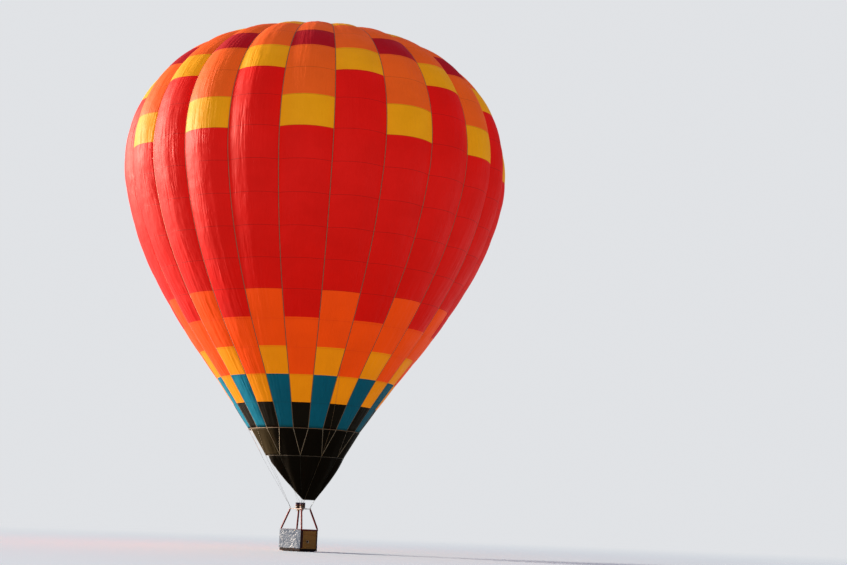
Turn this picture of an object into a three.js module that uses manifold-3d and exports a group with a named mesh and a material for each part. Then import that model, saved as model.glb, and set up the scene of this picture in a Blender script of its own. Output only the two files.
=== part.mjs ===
// Hot air balloon: a striped envelope of 24 gores, skirt, scoop, double burner and wicker basket.
// Millimetres, +Z up. Heights in this file are measured from the ground under the basket; the whole
// group is then lowered so that the origin lies on the axis at the widest ring of the envelope.
import * as THREE from "three";
import Module from "manifold-3d";

const wasm = await Module();
wasm.setup();

const gap = 0.3;

// Envelope
const goreCount = 24;
const shell = 10;
const mouthHeight = 6140;
const mouthRadius = 2875;
const mouthAngle = 33.62;
const panelHeight = 1557;
const firstPanelHeight = 1425;
const tapeWidth = 30;
const tapeProud = 2;
const tapeDepth = 12;
const widestRing = 10;

// Panel rows from the mouth upwards, with the inward turn of one row in degrees
const rowTable = [
  { rows: 3, turn: -1.13 },
  { rows: 3, turn: 3.08 },
  { rows: 3, turn: 5.18 },
  { rows: 2, turn: 11.73 },
  { rows: 2, turn: 12.91 },
  { rows: 2, turn: 12.23 },
  { rows: 2, turn: 9.46 },
  { rows: 1, turn: 4.62 },
];

// How far a gore swells out between its tapes, as a share of the radius, at chosen rings
const bulgeTable = [
  { ring: 0, share: 0 },
  { ring: 3, share: 0.007 },
  { ring: 5, share: 0.0145 },
  { ring: 7, share: 0.028 },
  { ring: 9, share: 0.033 },
  { ring: 11, share: 0.036 },
  { ring: 13, share: 0.043 },
  { ring: 14, share: 0.048 },
  { ring: 15, share: 0.05 },
  { ring: 16, share: 0.038 },
  { ring: 17, share: 0.01 },
];
const goreRings = [0, 2, 4, 6, 7, 8, 9, 10, 11, 12, 13, 14, 15, 16, 17];
const ventRing = 17;
const crownRadius = 300;

// Mouth band, skirt and scoop
const bandHeight = 55;
const skirtTopRadius = 2850;
const hemHeight = 4770;
const hemRadius = 2090;
const scoopBottomHeight = 2610;
const skirtBillow = 45;
const scoopBillow = 120;
const skirtReach = 105;
const scoopReach = 97.5;

// How deep the scoop's free edge hangs, as a share of the way from the hem to its bottom
const edgeTable = [
  { azimuth: 0, depth: 1 },
  { azimuth: 30, depth: 1 },
  { azimuth: 45, depth: 0.965 },
  { azimuth: 60, depth: 0.9 },
  { azimuth: 75, depth: 0.81 },
  { azimuth: 82.5, depth: 0.58 },
  { azimuth: 90, depth: 0.28 },
  { azimuth: 97.5, depth: 0.12 },
];

// Stays
const stayRadius = 6;
const stayOffset = 24;

// Burner frame, gimbal and burners
const frameHeight = 2150;
const frameLong = 880;
const frameShort = 600;
const frameBar = 32;
const cornerBlock = 64;
const gimbalLong = 730;
const gimbalShort = 440;
const gimbalBar = 24;
const pinRadius = 9;
const canSpacing = 330;
const canRadius = 140;
const canHeight = 290;

// Basket
const basketLong = 1660;
const basketShort = 1160;
const basketHeight = 1120;
const wall = 40;
const cornerRadius = 90;
const floorTop = 60;
const rimHeight = 70;
const rimWidth = 84;
const uprightRadius = 44;
const footHoleWidth = 170;
const footHoleHeight = 115;
const footHoleCentre = 500;

const rad = (degrees) => degrees * Math.PI / 180;

// Solids as points and triangles

// A skin over a row of loops of points. With the "strip" cap each loop runs along the front of a thin
// shell and returns along its back, and both are split into triangles along the same lines.
function loft(rings, closed = false, cap = "fan") {
  const n = rings[0].length;
  const faces = [];
  const last = closed ? rings.length : rings.length - 1;
  for (let i = 0; i < last; i++) {
    const j = (i + 1) % rings.length;
    for (let k = 0; k < n; k++) {
      const m = (k + 1) % n;
      if (cap === "strip" && k >= n / 2) {
        faces.push([i * n + k, j * n + k, i * n + m]);
        faces.push([i * n + m, j * n + k, j * n + m]);
      } else {
        faces.push([i * n + k, j * n + k, j * n + m]);
        faces.push([i * n + k, j * n + m, i * n + m]);
      }
    }
  }
  if (!closed) {
    const lid = [];
    if (cap === "fan") {
      for (let k = 1; k < n - 1; k++) lid.push([0, k, k + 1]);
    } else {
      for (let k = 0; k < n / 2 - 1; k++) {
        lid.push([k, k + 1, n - 2 - k]);
        lid.push([k, n - 2 - k, n - 1 - k]);
      }
    }
    const base = (rings.length - 1) * n;
    for (const [a, b, c] of lid) {
      faces.push([a, b, c]);
      faces.push([base + a, base + c, base + b]);
    }
  }
  return outward({ points: rings.flat(), faces });
}

// A closed solid keeps its faces turned outwards: a negative volume flips them
function outward(solid) {
  let volume = 0;
  for (const [a, b, c] of solid.faces) {
    const [p, q, r] = [solid.points[a], solid.points[b], solid.points[c]];
    volume += p[0] * (q[1] * r[2] - q[2] * r[1]);
    volume += p[1] * (q[2] * r[0] - q[0] * r[2]);
    volume += p[2] * (q[0] * r[1] - q[1] * r[0]);
  }
  if (volume < 0) solid.faces = solid.faces.map(([a, b, c]) => [a, c, b]);
  return solid;
}

function toManifold(solid) {
  return new wasm.Manifold(new wasm.Mesh({
    numProp: 3,
    vertProperties: Float32Array.from(solid.points.flat()),
    triVerts: Uint32Array.from(solid.faces.flat()),
  }));
}

function fromManifold(manifold) {
  const data = manifold.getMesh();
  const points = [];
  for (let i = 0; i < data.vertProperties.length; i += data.numProp) {
    points.push(Array.from(data.vertProperties.slice(i, i + 3)));
  }
  const faces = [];
  for (let i = 0; i < data.triVerts.length; i += 3) {
    faces.push(Array.from(data.triVerts.slice(i, i + 3)));
  }
  return { points, faces };
}

function join(...solids) {
  let whole = toManifold(solids[0]);
  for (const solid of solids.slice(1)) whole = whole.add(toManifold(solid));
  return fromManifold(whole);
}

function cut(solid, ...tools) {
  let whole = toManifold(solid);
  for (const tool of tools) whole = whole.subtract(toManifold(tool));
  return fromManifold(whole);
}

function box(x0, x1, y0, y1, z0, z1) {
  const loop = (z) => [[x0, y0, z], [x1, y0, z], [x1, y1, z], [x0, y1, z]];
  return loft([loop(z0), loop(z1)]);
}

// A straight round bar between two points
function rod(start, end, radius, sides = 5) {
  const a = new THREE.Vector3(...start);
  const b = new THREE.Vector3(...end);
  const along = b.clone().sub(a).normalize();
  const side = new THREE.Vector3(0, 0, 1).cross(along);
  if (side.length() < 0.01) side.set(1, 0, 0);
  side.normalize();
  const up = along.clone().cross(side);
  const loop = (p) => Array.from({ length: sides }, (unused, k) => {
    const t = (k + 0.5) * 2 * Math.PI / sides;
    const q = p.clone().addScaledVector(side, radius * Math.cos(t)).addScaledVector(up, radius * Math.sin(t));
    return [q.x, q.y, q.z];
  });
  return loft([loop(a), loop(b)]);
}

// A turned solid from outline points [radius, height], closed back on itself or run to the axis
function turned(outline, sides, x = 0, y = 0) {
  const body = new THREE.LatheGeometry(outline.map(([r, z]) => new THREE.Vector2(r, z)), sides);
  body.rotateX(Math.PI / 2);
  body.translate(x, y, 0);
  return welded(body);
}

// Points that share a place become one, and empty triangles go
function welded(geometry) {
  const position = geometry.getAttribute("position");
  const index = geometry.index ? geometry.index.array : position.array.map((unused, i) => i);
  const known = new Map();
  const points = [];
  const place = (i) => {
    const p = [position.getX(i), position.getY(i), position.getZ(i)];
    const key = p.map((value) => Math.round(value * 100)).join(",");
    if (!known.has(key)) {
      known.set(key, points.length);
      points.push(p);
    }
    return known.get(key);
  };
  const faces = [];
  for (let i = 0; i < index.length; i += 3) {
    const [a, b, c] = [place(index[i]), place(index[i + 1]), place(index[i + 2])];
    if (a !== b && b !== c && c !== a) faces.push([a, b, c]);
  }
  return outward({ points, faces });
}

// Rounded rectangle loop at height z, corners cut by short arcs
function roundedLoop(halfX, halfY, radius, z, steps = 3) {
  const loop = [];
  for (const [sx, sy, start] of [[1, 1, 0], [-1, 1, 90], [-1, -1, 180], [1, -1, 270]]) {
    for (let k = 0; k <= steps; k++) {
      const t = rad(start + 90 * k / steps);
      loop.push([sx * (halfX - radius) + radius * Math.cos(t), sy * (halfY - radius) + radius * Math.sin(t), z]);
    }
  }
  return loop;
}

// Envelope profile: radius, height and slope at every ring

const profile = [{ radius: mouthRadius, height: mouthHeight, angle: mouthAngle }];
for (const { rows, turn } of rowTable) {
  for (let k = 0; k < rows; k++) {
    const from = profile[profile.length - 1];
    const middle = rad(from.angle - turn / 2);
    const length = profile.length === 1 ? firstPanelHeight : panelHeight;
    const chord = length * Math.sin(rad(turn / 2)) / rad(turn / 2);
    profile.push({
      radius: from.radius + chord * Math.sin(middle),
      height: from.height + chord * Math.cos(middle),
      angle: from.angle - turn,
    });
  }
}

// Place on a ring: azimuth in degrees, sideways shift and depth under the surface
function onRing(ring, azimuth, shift, depth, grow = 1) {
  const { radius, height, angle } = profile[ring];
  const r = radius * grow - depth * Math.cos(rad(angle));
  const z = height + depth * Math.sin(rad(angle));
  const [c, s] = [Math.cos(rad(azimuth)), Math.sin(rad(azimuth))];
  return [r * c - shift * s, r * s + shift * c, z];
}

const goreAngle = 360 / goreCount;
const goreColumns = [-1, -0.5, 0, 0.5, 1];

function bulgeAt(ring) {
  const above = Math.max(1, bulgeTable.findIndex((row) => row.ring >= ring));
  const [low, high] = [bulgeTable[above - 1], bulgeTable[above]];
  return low.share + (high.share - low.share) * (ring - low.ring) / (high.ring - low.ring);
}

// Outward normal of a grid of points at one of its places, from the neighbours on both sides
function normalAt(grid, i, k) {
  const at = (p, q) => new THREE.Vector3(...grid[p][q]);
  const along = at(Math.min(i + 1, grid.length - 1), k).sub(at(Math.max(i - 1, 0), k));
  const across = at(i, Math.min(k + 1, grid[0].length - 1)).sub(at(i, Math.max(k - 1, 0)));
  const normal = across.cross(along).normalize();
  return normal.dot(at(i, k).setZ(0)) < 0 ? normal.negate() : normal;
}

// A gore's side edges lie in planes beside the tapes; in between its wall is square to the surface
function gore(centre) {
  const edge = tapeWidth / 2 + gap;
  const front = goreRings.map((ring) => goreColumns.map((u) => {
    const shift = Math.abs(u) === 1 ? -Math.sign(u) * edge : 0;
    return onRing(ring, centre + u * goreAngle / 2, shift, 0, 1 + bulgeAt(ring) * (1 - u * u));
  }));
  const back = front.map((line, i) => line.map((point, k) => {
    const u = goreColumns[k];
    if (Math.abs(u) === 1) return onRing(goreRings[i], centre + u * goreAngle / 2, -u * edge, shell);
    const normal = normalAt(front, i, k);
    return point.map((value, axis) => value - shell * normal.getComponent(axis));
  }));
  return loft(front.map((line, i) => [...line, ...back[i].slice().reverse()]), false, "strip");
}

// One load tape, from the mouth band over the shoulder to the crown ring
function tape(azimuth) {
  const half = tapeWidth / 2;
  const section = (ring) => [
    onRing(ring, azimuth, -half, -tapeProud),
    onRing(ring, azimuth, half, -tapeProud),
    onRing(ring, azimuth, half, tapeDepth),
    onRing(ring, azimuth, -half, tapeDepth),
  ];
  const rings = goreRings.map(section);
  const low = section(0).map(([x, y]) => [x, y, mouthHeight - bandHeight / 2]);
  rings.unshift(low);
  const end = onRing(18, azimuth, 0, 0);
  const inner = crownRadius - 40;
  const [c, s] = [Math.cos(rad(azimuth)), Math.sin(rad(azimuth))];
  const last = [[-half, tapeProud], [half, tapeProud], [half, -tapeDepth], [-half, -tapeDepth]];
  rings.push(last.map(([t, up]) => [end[0] - t * s, end[1] + t * c, end[2] + up]));
  rings.push(last.map(([t, up]) => [inner * c - t * s, inner * s + t * c, crownHeight + up]));
  return loft(rings, false, "fan");
}
const crownHeight = profile[18].height + 30;

function annulus(inner, outer, low, high, sides) {
  return turned([[inner, low], [outer, low], [outer, high], [inner, high], [inner, low]], sides);
}

const group = new THREE.Group();
const finish = {
  red: { color: "#b3141a", roughness: 0.65, metalness: 0 },
  orange: { color: "#d8631a", roughness: 0.65, metalness: 0 },
  black: { color: "#1b1a19", roughness: 0.8, metalness: 0 },
  tape: { color: "#c9ac8c", roughness: 0.8, metalness: 0 },
  steel: { color: "#a9adb0", roughness: 0.35, metalness: 0.9 },
  dark: { color: "#4a4c4f", roughness: 0.5, metalness: 0.8 },
  leather: { color: "#7c1a1c", roughness: 0.6, metalness: 0 },
  wicker: { color: "#9a6a38", roughness: 0.85, metalness: 0 },
  wood: { color: "#8a6a45", roughness: 0.7, metalness: 0 },
  edging: { color: "#33241c", roughness: 0.7, metalness: 0 },
  cloth: { color: "#d9dbdd", roughness: 0.75, metalness: 0 },
  aluminium: { color: "#b8bcbf", roughness: 0.4, metalness: 0.85 },
};

function add(name, solid, material) {
  const geometry = new THREE.BufferGeometry();
  geometry.setAttribute("position", new THREE.Float32BufferAttribute(solid.points.flat(), 3));
  geometry.setIndex(solid.faces.flat());
  const flat = geometry.toNonIndexed();
  flat.computeVertexNormals();
  const mesh = new THREE.Mesh(flat, new THREE.MeshStandardMaterial(finish[material]));
  mesh.name = name;
  group.add(mesh);
}

// Gores: the wide-striped kind at 45 degrees and every 30 degrees on, the other kind between
for (let k = 0; k < goreCount; k++) {
  const kind = k % 2 === 0 ? "a" : "b";
  const number = String(k + 1).padStart(2, "0");
  add(`gore_${number}_${kind}`, gore(45 + k * goreAngle), kind === "a" ? "orange" : "red");
}

// Load tapes with the mouth band and the crown ring
const tapes = [];
for (let k = 0; k < goreCount; k++) tapes.push(tape(45 + (k + 0.5) * goreAngle));
const bandSection = (azimuth) => {
  const outer = mouthRadius + tapeProud + 7;
  const inner = mouthRadius - tapeDepth - 24;
  return [
    [outer, mouthHeight - bandHeight],
    [outer, mouthHeight - gap],
    [inner, mouthHeight - gap],
    [inner, mouthHeight - bandHeight],
  ].map(([r, z]) => [r * Math.cos(rad(azimuth)), r * Math.sin(rad(azimuth)), z]);
};
const bandRings = Array.from({ length: 48 }, (unused, k) => bandSection(k * 7.5));
const crownRing = annulus(crownRadius - 60, crownRadius - 20, crownHeight - tapeDepth, crownHeight + 20, 24);
add("load_tapes", join(loft(bandRings, true), crownRing, ...tapes), "tape");

// Parachute vent, a shallow dish held up against the tapes and the rim of the top opening
const ventGap = gap;
const ventLap = 160;
const [ventEdge, ventInner, below] = [profile[ventRing], profile[ventRing + 1], profile[ventRing - 1]];
const fall = (ventEdge.height - below.height) / (below.radius - ventEdge.radius);
const ventDrop = tapeDepth + ventGap;
const ventTop = [
  [0, crownHeight - ventDrop],
  [ventInner.radius, ventInner.height - ventDrop],
  [ventEdge.radius, ventEdge.height - ventDrop - 1],
  [ventEdge.radius + ventLap, ventEdge.height - ventDrop - 1 - fall * ventLap],
];
const ventOutline = [...ventTop, ...ventTop.slice().reverse().map(([r, z]) => [r, z - shell])];
add("vent_panel", turned(ventOutline, 32), "orange");

// Skirt and scoop: both lie just inside the stays and fill out between them on the +X side

const stayTop = mouthHeight - bandHeight;
const frameTop = frameHeight + cornerBlock / 2;
const stayFoot = frameTop + 40;

// Where the stay of azimuth a runs at a height; between the stays, a smooth cage through them
function stayAt(a, height) {
  const run = (hemHeight - height) / (hemHeight - stayFoot);
  const share = (t) => Math.max(-1, Math.min(1, t / 15));
  const footX = share(90 - Math.abs(a)) * frameLong / 2;
  const footY = share(a) * frameShort / 2;
  const top = hemRadius + stayOffset;
  return [
    top * Math.cos(rad(a)) * (1 - run) + footX * run,
    top * Math.sin(rad(a)) * (1 - run) + footY * run,
  ];
}

// Cloth swell: none on a stay (every 30 degrees from 15), part of it near one, all midway between
function swellShare(a, near) {
  const off = Math.abs(((a - 15) % 30 + 45) % 30 - 15);
  return off < 7.5 ? near * off / 7.5 : near + (1 - near) * Math.sin(rad((off - 7.5) * 12));
}

// A cloth wall behind a grid of front points, kept at the height of each, shell thick square to the cloth
function clothWall(front) {
  const back = front.map((line, i) => line.map(([x, y, z], k) => {
    const normal = normalAt(front, i, k);
    const level = Math.hypot(normal.x, normal.y);
    const reach = shell / level / level;
    return [x - normal.x * reach, y - normal.y * reach, z];
  }));
  return loft(front.map((line, i) => [...line, ...back[i].slice().reverse()]), false, "strip");
}

function skirtPoint(a, t) {
  const cone = skirtTopRadius + (hemRadius - skirtTopRadius) * t;
  const r = cone + skirtBillow * t * swellShare(a, 0.3 * t * t);
  return [r * Math.cos(rad(a)), r * Math.sin(rad(a)), stayTop - gap + (hemHeight + gap - stayTop) * t];
}

// The skirt goes round the scoop's side only; each end follows the last stay pair, in at the hem
const skirtRows = [0, 0.4, 0.65, 0.85, 1];
const skirtEnd = (t) => skirtReach + goreAngle / 2 * (1 - 0.93 * t);
const skirtColumns = Array.from({ length: 29 }, (unused, k) => (k / 14 - 1) * skirtReach);
const skirtLines = [
  (t) => -skirtEnd(t),
  ...skirtColumns.map((a) => () => a),
  skirtEnd,
];
add("skirt", clothWall(skirtLines.map((line) => skirtRows.map((t) => skirtPoint(line(t), t)))), "black");

// The scoop's free edge: level at the bottom between the near stays, then rising steeply to the hem
function edgeDepth(a) {
  const next = Math.max(1, edgeTable.findIndex((row) => row.azimuth >= Math.abs(a)));
  const [low, high] = [edgeTable[next - 1], edgeTable[next]];
  return low.depth + (high.depth - low.depth) * (Math.abs(a) - low.azimuth) / (high.azimuth - low.azimuth);
}

function scoopPoint(a, share) {
  const t = edgeDepth(a) * share;
  const height = hemHeight - gap + (scoopBottomHeight - hemHeight + gap) * t;
  const [x, y] = stayAt(a, height);
  const near = 0.3 + 0.4 * Math.min(3 * t, 1);
  const most = skirtBillow + scoopBillow * Math.sin(Math.PI * t ** 0.8) - skirtBillow * t;
  const out = most * swellShare(a, near) - stayOffset;
  return [x + out * Math.cos(rad(a)), y + out * Math.sin(rad(a)), height];
}

const scoopColumns = Array.from({ length: 27 }, (unused, k) => (k / 13 - 1) * scoopReach);
const scoopRows = [0, 0.16, 0.36, 0.58, 0.8, 1];
add("scoop", clothWall(scoopColumns.map((a) => scoopRows.map((t) => scoopPoint(a, t)))), "black");

// Stays: for each frame corner three pairs from the load tapes meet at the hem and run down together
for (const [name, centre] of [["rear_right", 45], ["rear_left", 135], ["front_left", 225], ["front_right", 315]]) {
  const sx = Math.sign(Math.cos(rad(centre)));
  const sy = Math.sign(Math.sin(rad(centre)));
  const foot = [sx * frameLong / 2, sy * frameShort / 2, stayFoot];
  const pieces = [box(foot[0] - 22, foot[0] + 22, foot[1] - 22, foot[1] + 22, frameTop + gap, frameTop + 63)];
  for (const a of [centre - 30, centre, centre + 30]) {
    const at = (azimuth, radius, z) => [radius * Math.cos(rad(azimuth)), radius * Math.sin(rad(azimuth)), z];
    const apex = at(a, hemRadius + stayOffset, hemHeight);
    for (const side of [-1, 1]) {
      const top = at(a + side * goreAngle / 2, skirtTopRadius + stayOffset, stayTop);
      const longer = top.map((value, i) => value + (value - apex[i]) * 0.02);
      pieces.push(rod(longer, apex, stayRadius));
    }
    const joint = apex.map((value, i) => value + (i === 2 ? 16 : 0));
    pieces.push(rod(joint, apex.map((value, i) => value - (i === 2 ? 22 : 0)), 14));
    pieces.push(rod(apex, foot, stayRadius - 1));
  }
  const above = box(-4000, 4000, -4000, 4000, stayTop - gap, stayTop + 200);
  add(`stays_${name}`, cut(join(...pieces), above), "steel");
}

// Burner frame with its four corner sockets and two pin blocks on the short sides
const [fx, fy, fb] = [frameLong / 2, frameShort / 2, frameBar / 2];
const frameParts = [];
for (const s of [-1, 1]) {
  frameParts.push(box(-fx, fx, s * fy - fb, s * fy + fb, frameHeight - fb, frameHeight + fb));
  frameParts.push(box(s * fx - fb, s * fx + fb, -fy, fy, frameHeight - fb, frameHeight + fb));
  frameParts.push(box(s * fx - 22, s * fx + 22, -26, 26, frameHeight - 26, frameHeight + 26));
  for (const q of [-1, 1]) {
    const half = cornerBlock / 2;
    frameParts.push(box(s * fx - half, s * fx + half, q * fy - half, q * fy + half,
      frameHeight - half, frameHeight + half));
  }
}
const frameBore = rod([-fx - 60, 0, frameHeight], [fx + 60, 0, frameHeight], pinRadius + 0.5, 16);
add("burner_frame", cut(join(...frameParts), frameBore), "steel");

// Gimbal ring: swings in the frame on two pins along X
const [gx, gy, gb] = [gimbalLong / 2, gimbalShort / 2, gimbalBar / 2];
const gimbalParts = [];
for (const s of [-1, 1]) {
  gimbalParts.push(box(-gx, gx, s * gy - gb, s * gy + gb, frameHeight - gb, frameHeight + gb));
  gimbalParts.push(box(s * gx - gb, s * gx + gb, -gy - gb, gy + gb, frameHeight - gb, frameHeight + gb));
  gimbalParts.push(rod([s * gx, 0, frameHeight], [s * (fx + 18), 0, frameHeight], pinRadius, 16));
  gimbalParts.push(box(-24, 24, s * gy - 16, s * gy + 16, frameHeight - 22, frameHeight + 22));
}
const gimbalBore = rod([0, -gy - 60, frameHeight], [0, gy + 60, frameHeight], pinRadius + 0.5, 16);
add("gimbal_ring", cut(join(...gimbalParts), gimbalBore), "steel");

// Double burner: two cans on one base, swung in the ring on pins along Y
const burnerParts = [
  box(-16, 16, -gy + 30, gy - 30, frameHeight - 16, frameHeight + 16),
  box(-canSpacing / 2 - 60, canSpacing / 2 + 60, -42, 42, frameHeight - 70, frameHeight - 12),
  rod([0, -gy - 12, frameHeight], [0, gy + 12, frameHeight], pinRadius, 16),
];
for (const s of [-1, 1]) {
  const x = s * canSpacing / 2;
  const low = frameHeight + 26;
  const can = [
    [0, low - 50], [52, low - 50], [52, low], [canRadius - 22, low], [canRadius, low + 34],
    [canRadius, low + canHeight], [canRadius - 5, low + canHeight], [canRadius - 5, low + 36],
    [canRadius - 24, low + 6], [46, low + 6], [46, low + 90], [0, low + 90],
  ];
  burnerParts.push(turned(can, 16, x, 0));
  burnerParts.push(rod([x, 0, frameHeight - 140], [x, 0, frameHeight - 60], 26, 10));
  burnerParts.push(box(x - 12, x + 12, -150, -20, frameHeight - 118, frameHeight - 96));
}
add("double_burner", join(...burnerParts), "dark");

// Leather-covered uprights between the basket rim and the frame corners
const uprightFoot = [basketLong / 2 - 38, basketShort / 2 - 38];
for (const [name, sx, sy] of [
  ["rear_right", 1, 1],
  ["rear_left", -1, 1],
  ["front_left", -1, -1],
  ["front_right", 1, -1],
]) {
  const loop = (x, y, z, radius) => Array.from({ length: 10 }, (unused, k) => [
    x + radius * Math.cos(k * Math.PI / 5),
    y + radius * Math.sin(k * Math.PI / 5),
    z,
  ]);
  const low = [sx * uprightFoot[0], sy * uprightFoot[1], basketHeight + gap];
  const high = [sx * fx, sy * fy, frameHeight - cornerBlock / 2 - gap];
  const at = (t) => low.map((value, i) => value + (high[i] - value) * t);
  const rings = [[0, uprightRadius], [0.08, uprightRadius + 4], [0.9, uprightRadius + 2], [1, uprightRadius - 10]];
  add(`upright_${name}`, loft(rings.map(([t, r]) => loop(...at(t), r))), "leather");
}

// Basket walls, open at the top and bottom, with a foot hole in each end
const [bx, by] = [basketLong / 2, basketShort / 2];
const wallTop = basketHeight - rimHeight - gap;
const outerWall = loft([
  roundedLoop(bx, by, cornerRadius, floorTop + gap),
  roundedLoop(bx, by, cornerRadius, wallTop),
]);
const innerWall = loft([
  roundedLoop(bx - wall, by - wall, cornerRadius - wall, floorTop - 20),
  roundedLoop(bx - wall, by - wall, cornerRadius - wall, wallTop + 20),
]);
const footHole = (s) => {
  const c = [-130 * s, footHoleCentre];
  return box(s > 0 ? bx - 80 : -bx - 40, s > 0 ? bx + 40 : -bx + 80,
    c[0] - footHoleWidth / 2, c[0] + footHoleWidth / 2,
    c[1] - footHoleHeight / 2, c[1] + footHoleHeight / 2);
};
add("basket_walls", cut(outerWall, innerWall, footHole(1), footHole(-1)), "wicker");

// Floor board on three runners
const runners = [-1, 0, 1].map((k) => box(-bx + 60, bx - 60, k * 380 - 35, k * 380 + 35, 0, 42));
const board = loft([
  roundedLoop(bx, by, cornerRadius, 40),
  roundedLoop(bx, by, cornerRadius, floorTop),
]);
add("floor_and_runners", join(board, ...runners), "wood");

// Hide edging round the foot of the walls
const edging = cut(
  loft([roundedLoop(bx + 9, by + 9, cornerRadius + 9, 30), roundedLoop(bx + 9, by + 9, cornerRadius + 9, 150)]),
  loft([roundedLoop(bx + gap, by + gap, cornerRadius, 0), roundedLoop(bx + gap, by + gap, cornerRadius, 200)]),
);
add("foot_edging", edging, "edging");

// Padded rim with a leather guard down each corner
const rimSection = [[-1, -0.5], [-0.5, -1], [0.5, -1], [1, -0.5], [1, 0.5], [0.62, 1], [-0.62, 1], [-1, 0.5]];
const rimLoops = rimSection.map(([u, v]) => {
  const out = u * rimWidth / 2 - wall / 2;
  return roundedLoop(bx + out, by + out, cornerRadius + out, basketHeight - rimHeight / 2 + v * rimHeight / 2);
});
const rimRings = rimLoops[0].map((unused, k) => rimLoops.map((loop) => loop[k]));
const guardOuter = loft([
  roundedLoop(bx + 6, by + 6, cornerRadius + 6, 170),
  roundedLoop(bx + 6, by + 6, cornerRadius + 6, basketHeight - rimHeight / 2),
]);
const guardInner = loft([
  roundedLoop(bx + gap, by + gap, cornerRadius + gap, 150),
  roundedLoop(bx + gap, by + gap, cornerRadius + gap, basketHeight),
]);
const guardSlots = [
  box(-bx + 150, bx - 150, -by - 50, by + 50, 100, basketHeight + 50),
  box(-bx - 50, bx + 50, -by + 150, by - 150, 100, basketHeight + 50),
];
add("rim_and_corner_guards", join(loft(rimRings, true), cut(guardOuter, guardInner, ...guardSlots)), "leather");

// Plain cloth banner hung on the rim along the front
const bannerFace = by + rimWidth / 2 - wall / 2 + gap;
add("banner", box(-bx + 20, bx - 20, -bannerFace - 6, -bannerFace, 160, basketHeight - 6), "cloth");

// Fuel cylinders in the four corners
for (const [name, sx, sy] of [
  ["rear_right", 1, 1],
  ["rear_left", -1, 1],
  ["front_left", -1, -1],
  ["front_right", 1, -1],
]) {
  const low = floorTop + gap;
  const outline = [
    [0, low], [126, low], [140, low + 60], [140, low + 640], [112, low + 706],
    [24, low + 726], [24, low + 780], [0, low + 780],
  ];
  const x = sx * (bx - wall - 150);
  const y = sy * (by - wall - 150);
  add(`fuel_cylinder_${name}`, turned(outline, 12, x, y), "aluminium");
}

group.position.set(0, 0, -profile[widestRing].height);

export default group;
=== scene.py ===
import math

import bpy
import numpy as np
from mathutils import Matrix, Vector


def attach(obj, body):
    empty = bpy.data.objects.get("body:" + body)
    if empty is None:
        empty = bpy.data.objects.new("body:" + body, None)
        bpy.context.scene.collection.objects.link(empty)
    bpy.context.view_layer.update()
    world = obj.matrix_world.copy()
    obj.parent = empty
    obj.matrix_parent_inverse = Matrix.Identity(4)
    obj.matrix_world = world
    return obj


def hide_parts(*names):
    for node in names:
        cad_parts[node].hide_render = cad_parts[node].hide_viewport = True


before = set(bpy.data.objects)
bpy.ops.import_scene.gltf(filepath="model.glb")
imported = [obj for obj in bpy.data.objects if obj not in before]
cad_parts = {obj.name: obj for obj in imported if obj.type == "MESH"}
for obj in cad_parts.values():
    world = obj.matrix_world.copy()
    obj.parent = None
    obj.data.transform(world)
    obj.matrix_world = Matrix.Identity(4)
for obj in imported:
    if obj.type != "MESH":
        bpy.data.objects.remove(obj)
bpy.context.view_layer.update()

lift = 19.70230773375  # height of the origin above the ground, in metres
corners = {"rear_right": (1, 1), "rear_left": (-1, 1), "front_left": (-1, -1), "front_right": (1, -1)}


def add(name, data):
    made = bpy.data.objects.new(name, data)
    bpy.context.collection.objects.link(made)
    return made


# The camera stands at the photo's distance and azimuth, turned right, then up, then about its own axis
print("camera")
shot = {"azimuth": -41.588, "distance": 73.0, "eye": 1.65, "turnRight": 4.66, "turnUp": 9.786, "roll": 2.05,
        "focalPixels": 1393.7, "widthPixels": 847, "sensor": 36}
aim, pan, pitch, roll = (math.radians(shot[name]) for name in ("azimuth", "turnRight", "turnUp", "roll"))
up = Vector((0, 0, 1))
outwards = Vector((math.cos(aim), math.sin(aim), 0))  # level, from the axis to the camera
sideways = Vector((-outwards.y, outwards.x, 0))  # level, to the picture's right
level = sideways * math.sin(pan) - outwards * math.cos(pan)
right = sideways * math.cos(pan) + outwards * math.sin(pan)
ahead, above = level * math.cos(pitch) + up * math.sin(pitch), up * math.cos(pitch) - level * math.sin(pitch)
c, s = math.cos(roll), math.sin(roll)
turn = Matrix((right * c + above * s, above * c - right * s, -ahead)).transposed().to_4x4()
lens = bpy.data.cameras.new("camera")
lens.sensor_width = shot["sensor"]
lens.lens = shot["focalPixels"] * shot["sensor"] / shot["widthPixels"]
lens.clip_start, lens.clip_end = 0.5, 4000
camera = add("camera", lens)
camera.matrix_world = Matrix.Translation(outwards * shot["distance"] + up * (shot["eye"] - lift)) @ turn
bpy.context.scene.camera = camera


# Shapes: dictionaries of points (n x 3, heights from the ground), faces and, per face corner, cloth places

# The angles of evenly spaced steps round a full turn
def turns(steps):
    return np.arange(steps) * 2 * np.pi / steps


# Points at a radius, an azimuth in radians and a height, each a number or an array
def polar(radius, azimuth, height):
    return np.stack(np.broadcast_arrays(radius * np.cos(azimuth), radius * np.sin(azimuth), height), -1)


def lengthAlong(path):
    return np.r_[0, np.cumsum(np.linalg.norm(np.diff(path, axis=0), axis=1))]


def gridPlaces(along, around):
    return np.stack(np.meshgrid(along, around, indexing="ij"), -1).reshape(-1, 2)


# Quads between neighbours (i, j) of a grid numbered i * columns + j, and the same on the unwrapped grid
def gridFaces(rows, columns, wrapRows=False, wrapColumns=False):
    i = np.arange(rows if wrapRows else rows - 1)[:, None]
    j = np.arange(columns if wrapColumns else columns - 1)[None, :]
    order = ((0, 0), (0, 1), (1, 1), (1, 0))
    faces = [(i + p) % rows * columns + (j + q) % columns for p, q in order]
    flat = [(i + p) * (columns + wrapColumns) + j + q for p, q in order]
    return np.stack(faces, -1).reshape(-1, 4), np.stack(flat, -1).reshape(-1, 4)


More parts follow.
